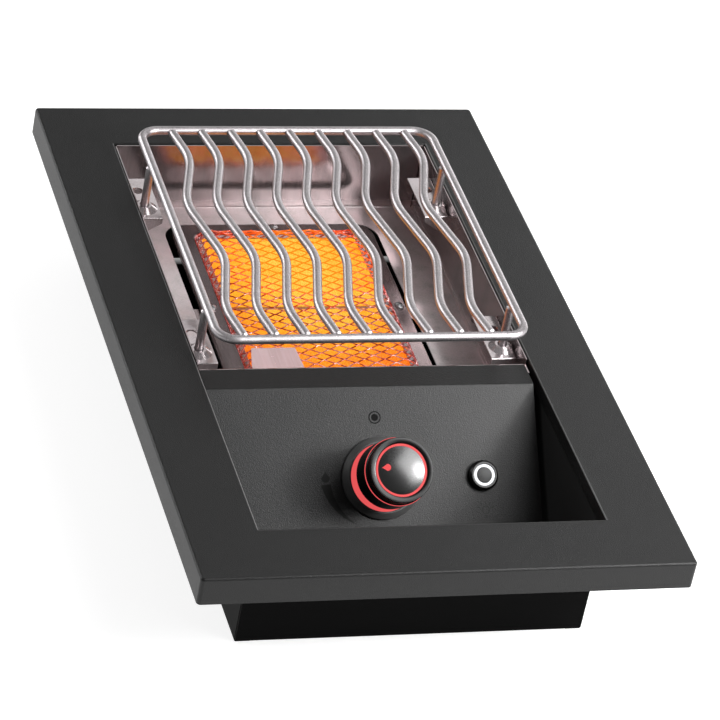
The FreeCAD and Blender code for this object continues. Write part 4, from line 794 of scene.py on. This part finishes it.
def turned(section, place, rounding=0.0):
    """Turns a section about the control's axis and rounds its edges."""
    bm = bmesh.new()
    points = [bm.verts.new((radius * MM, 0.0, height * MM)) for radius, height in section]
    ends = list(zip(points, points[1:]))
    if section[0][0] > 0:
        ends.append((points[-1], points[0]))
    edges = [bm.edges.new(pair) for pair in ends]
    bmesh.ops.spin(bm, geom=points + edges, cent=(0, 0, 0), axis=(0, 0, 1), angle=math.tau,
                   steps=TURN_STEPS, use_merge=True)
    bmesh.ops.remove_doubles(bm, verts=bm.verts, dist=TOUCHING)
    bmesh.ops.recalc_face_normals(bm, faces=bm.faces)
    if rounding:
        round_edges(bm, rounding)
    bmesh.ops.transform(bm, matrix=place, verts=bm.verts)
    return bm


def bezel():
    """Dish in the panel round the knob, and the lit ring in it."""
    knob = control_place("knob_face")
    dish = [(DISH_HOLE, 0), (DISH_RADIUS, 0), (DISH_RADIUS, DISH_EDGE), (DISH_BRIM, DISH_TOP),
            (DISH_WELL, DISH_TOP), (DISH_WELL, DISH_FLOOR), (DISH_HOLE, DISH_FLOOR)]
    glow = band(15.0, 25.5, DISH_FLOOR, DISH_GLOW_TOP)
    made(turned(dish, knob, rounding=0.35), "bezel_dish", "case", "knob_satin", "knob_bezel")
    made(turned(glow, knob, rounding=0.2), "bezel_glow", "case", "red_light", "bezel_light_ring")


def knob_lights():
    """Lit rings behind the knob's cap and round its face."""
    knob = control_place("knob_face")
    side = band(CAP_SEAT, 25.4, CAP_BACK, CAP_LIP_BACK)
    face = band(18.0, 19.6, FACE_SEAT, FACE_GLOW_FRONT)
    made(turned(side, knob, rounding=0.15), "side_glow", "knob", "red_light", "knob_side_light")
    made(turned(face, knob, rounding=0.15), "face_glow", "knob", "red_light", "knob_face_light")


def knob_front():
    """Front of the knob: the domed face in its dark ring, and the cap that holds both."""
    knob = control_place("knob_face")
    edge = [(RING_INNER, RING_SEAT), (CAP_RADIUS, RING_SEAT), (CAP_RADIUS, 48.7),
            (24.0, RING_FRONT), (20.7, RING_FRONT), (RING_INNER, 48.6)]
    reaches = [FACE_RADIUS * (1 - step / DOME_STEPS) for step in range(DOME_STEPS + 1)]
    face = [(0, FACE_SEAT), (FACE_RADIUS, FACE_SEAT)] + [(reach, crown(reach)) for reach in reaches]
    cap = [(0, CAP_BACK), (CAP_SEAT, CAP_BACK), (CAP_SEAT, CAP_LIP_BACK), (CAP_LIP, CAP_LIP_BACK),
           (CAP_LIP, CAP_LIP_FRONT), (CAP_RADIUS, 40.8), (CAP_RADIUS, RING_SEAT),
           (CAP_WELL, RING_SEAT), (CAP_WELL, FACE_SEAT), (0, FACE_SEAT)]
    made(turned(edge, knob, rounding=0.12), "front_ring", "knob", "dark_chrome", "knob_trim_ring")
    made(turned(face, knob), "domed_face", "knob", "knob_black", "knob_face", finish="knob_gloss")
    made(turned(cap, knob, rounding=0.25), "front_cap", "knob", "knob_black", "knob_cap")


def button():
    """Push button: its cap, the lit ring round it and their body."""
    foot = control_place("button_cap")
    cap = [(0, -BUTTON_CAP_DEPTH), (BUTTON_CAP, -BUTTON_CAP_DEPTH), (BUTTON_CAP, BUTTON_CAP_TOP),
           (0, BUTTON_CAP_TOP)]
    glow = band(BUTTON_BORE, 8.0, BUTTON_LEDGE, 5.5)
    body = [(0, -BUTTON_DEPTH), (BUTTON_BARREL, -BUTTON_DEPTH), (BUTTON_BARREL, 0),
            (BUTTON_FLANGE, 0), (BUTTON_FLANGE, BUTTON_FLANGE_TOP), (9.9, BUTTON_TOP),
            (BUTTON_WELL, BUTTON_TOP), (BUTTON_WELL, BUTTON_LEDGE), (BUTTON_BORE, BUTTON_LEDGE),
            (BUTTON_BORE, -BUTTON_BORE_DEPTH), (0, -BUTTON_BORE_DEPTH)]
    made(turned(cap, foot, rounding=0.4), "push_cap", "button", "knob_satin", "button_cap",
         finish="cap_satin")
    made(turned(glow, foot, rounding=0.15), "button_glow", "case", "white_light", "button_light_ring")
    made(turned(body, foot, rounding=0.3), "button_body", "case", "knob_black", "button_housing")


bezel()
knob_lights()
knob_front()
button()


# Studio

FLOOR_HALF = 6.0
FLOOR_GLOW = 0.78
SHADE_MARGIN = 0.02
WORLD_GLOW = 0.2

CAMERA_PLACE = (-0.91484, -2.35208, 1.81176)
CAMERA_TURN = (54.8415, -9.6182, -14.8725)
LENS = 201.4
SENSOR = 36.0
VIEW_END = 20.0

TARGET = (0.0, 0.0, 0.08)

# Name, place, the point that the light faces, its width and height, and its radiance
LIGHTS = [
    ("back_light", (0.5, 1.35, 1.05), TARGET, (1.1, 0.8), 0.9),
    ("key_light", (0.476, -0.444, 0.635), (0.03, -0.13, 0.05), (0.6, 0.6), 8.0),
    ("edge_light", (0.896, -0.695, 0.773), (0.0, -0.16, 0.087), (0.28, 0.28), 55.0),
    ("rail_light", (0.58, 0.1, 1.85), TARGET, (0.8, 0.5), 3.0),
    ("left_light", (-1.5, 0.35, 1.3), TARGET, (0.8, 0.8), 2.5),
    ("low_light", (-1.2, 1.45, 0.6), TARGET, (1.0, 0.5), 8.0),
    ("lip_light", (1.5, 1.6, 0.35), TARGET, (1.2, 0.5), 4.0),
]


def pale_floor():
    """Pale plain finish that stays white, except for a painted shadow under the object, where it stops glowing and
    turns dark.
    """
    finish = Finish("pale_floor", Roughness=0.9, IOR=1.05, Emission_Strength=FLOOR_GLOW)
    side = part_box("housing_right")[1]
    across = finish.between(abs(finish.axis("X")), 0.0, 1.0, side.x - SHADE_MARGIN, side.x)
    along = finish.between(abs(finish.axis("Y")), 0.0, 1.0, side.y - SHADE_MARGIN, side.y)
    # Painted shadow: under the object the floor's glow goes out and its colour turns dark grey
    clear = finish.between(across + along, 0.0, 1.0)
    sheet = finish.mix(finish.noise(3.0), grey(190), grey(196))
    finish.set("Emission Color", finish.mix(clear, grey(0), grey(255)))
    finish.set("Base Color", finish.mix(clear, grey(12), sheet))


def studio_floor():
    """Wide flat floor under the object."""
    bm = bmesh.new()
    bmesh.ops.create_grid(bm, x_segments=1, y_segments=1, size=FLOOR_HALF)
    mesh = bpy.data.meshes.new("floor")
    bm.to_mesh(mesh)
    bm.free()
    floor = bpy.data.objects.new("floor", mesh)
    bpy.context.scene.collection.objects.link(floor)
    pale_floor()
    dress(floor, "pale_floor")


def softbox(name, place, target, size, radiance):
    """Rectangular soft light that faces a point and is not seen itself."""
    lamp = bpy.data.lights.new(name, "AREA")
    lamp.shape = "RECTANGLE"
    lamp.size, lamp.size_y = size
    lamp.energy = radiance * math.pi * size[0] * size[1]
    light = bpy.data.objects.new(name, lamp)
    light.location = place
    light.rotation_euler = (Vector(target) - Vector(place)).to_track_quat("-Z", "Y").to_euler()
    light.visible_camera = False
    bpy.context.scene.collection.objects.link(light)


def studio_camera():
    """Camera at the photograph's angle and distance."""
    lens = bpy.data.cameras.new("camera")
    lens.sensor_width = SENSOR
    lens.lens = LENS
    lens.clip_end = VIEW_END
    camera = bpy.data.objects.new("camera", lens)
    camera.location = CAMERA_PLACE
    camera.rotation_euler = [math.radians(angle) for angle in CAMERA_TURN]
    bpy.context.scene.collection.objects.link(camera)
    bpy.context.scene.camera = camera


def studio_world():
    """Faint even light from all round, and plain colours on screen."""
    world = bpy.data.worlds.new("studio")
    world.use_nodes = True
    background = world.node_tree.nodes["Background"]
    background.inputs["Color"].default_value = (1.0, 1.0, 1.0, 1.0)
    background.inputs["Strength"].default_value = WORLD_GLOW
    bpy.context.scene.world = world
    bpy.context.scene.view_settings.view_transform = "Standard"


studio_floor()
studio_camera()
studio_world()
for light in LIGHTS:
    softbox(*light)
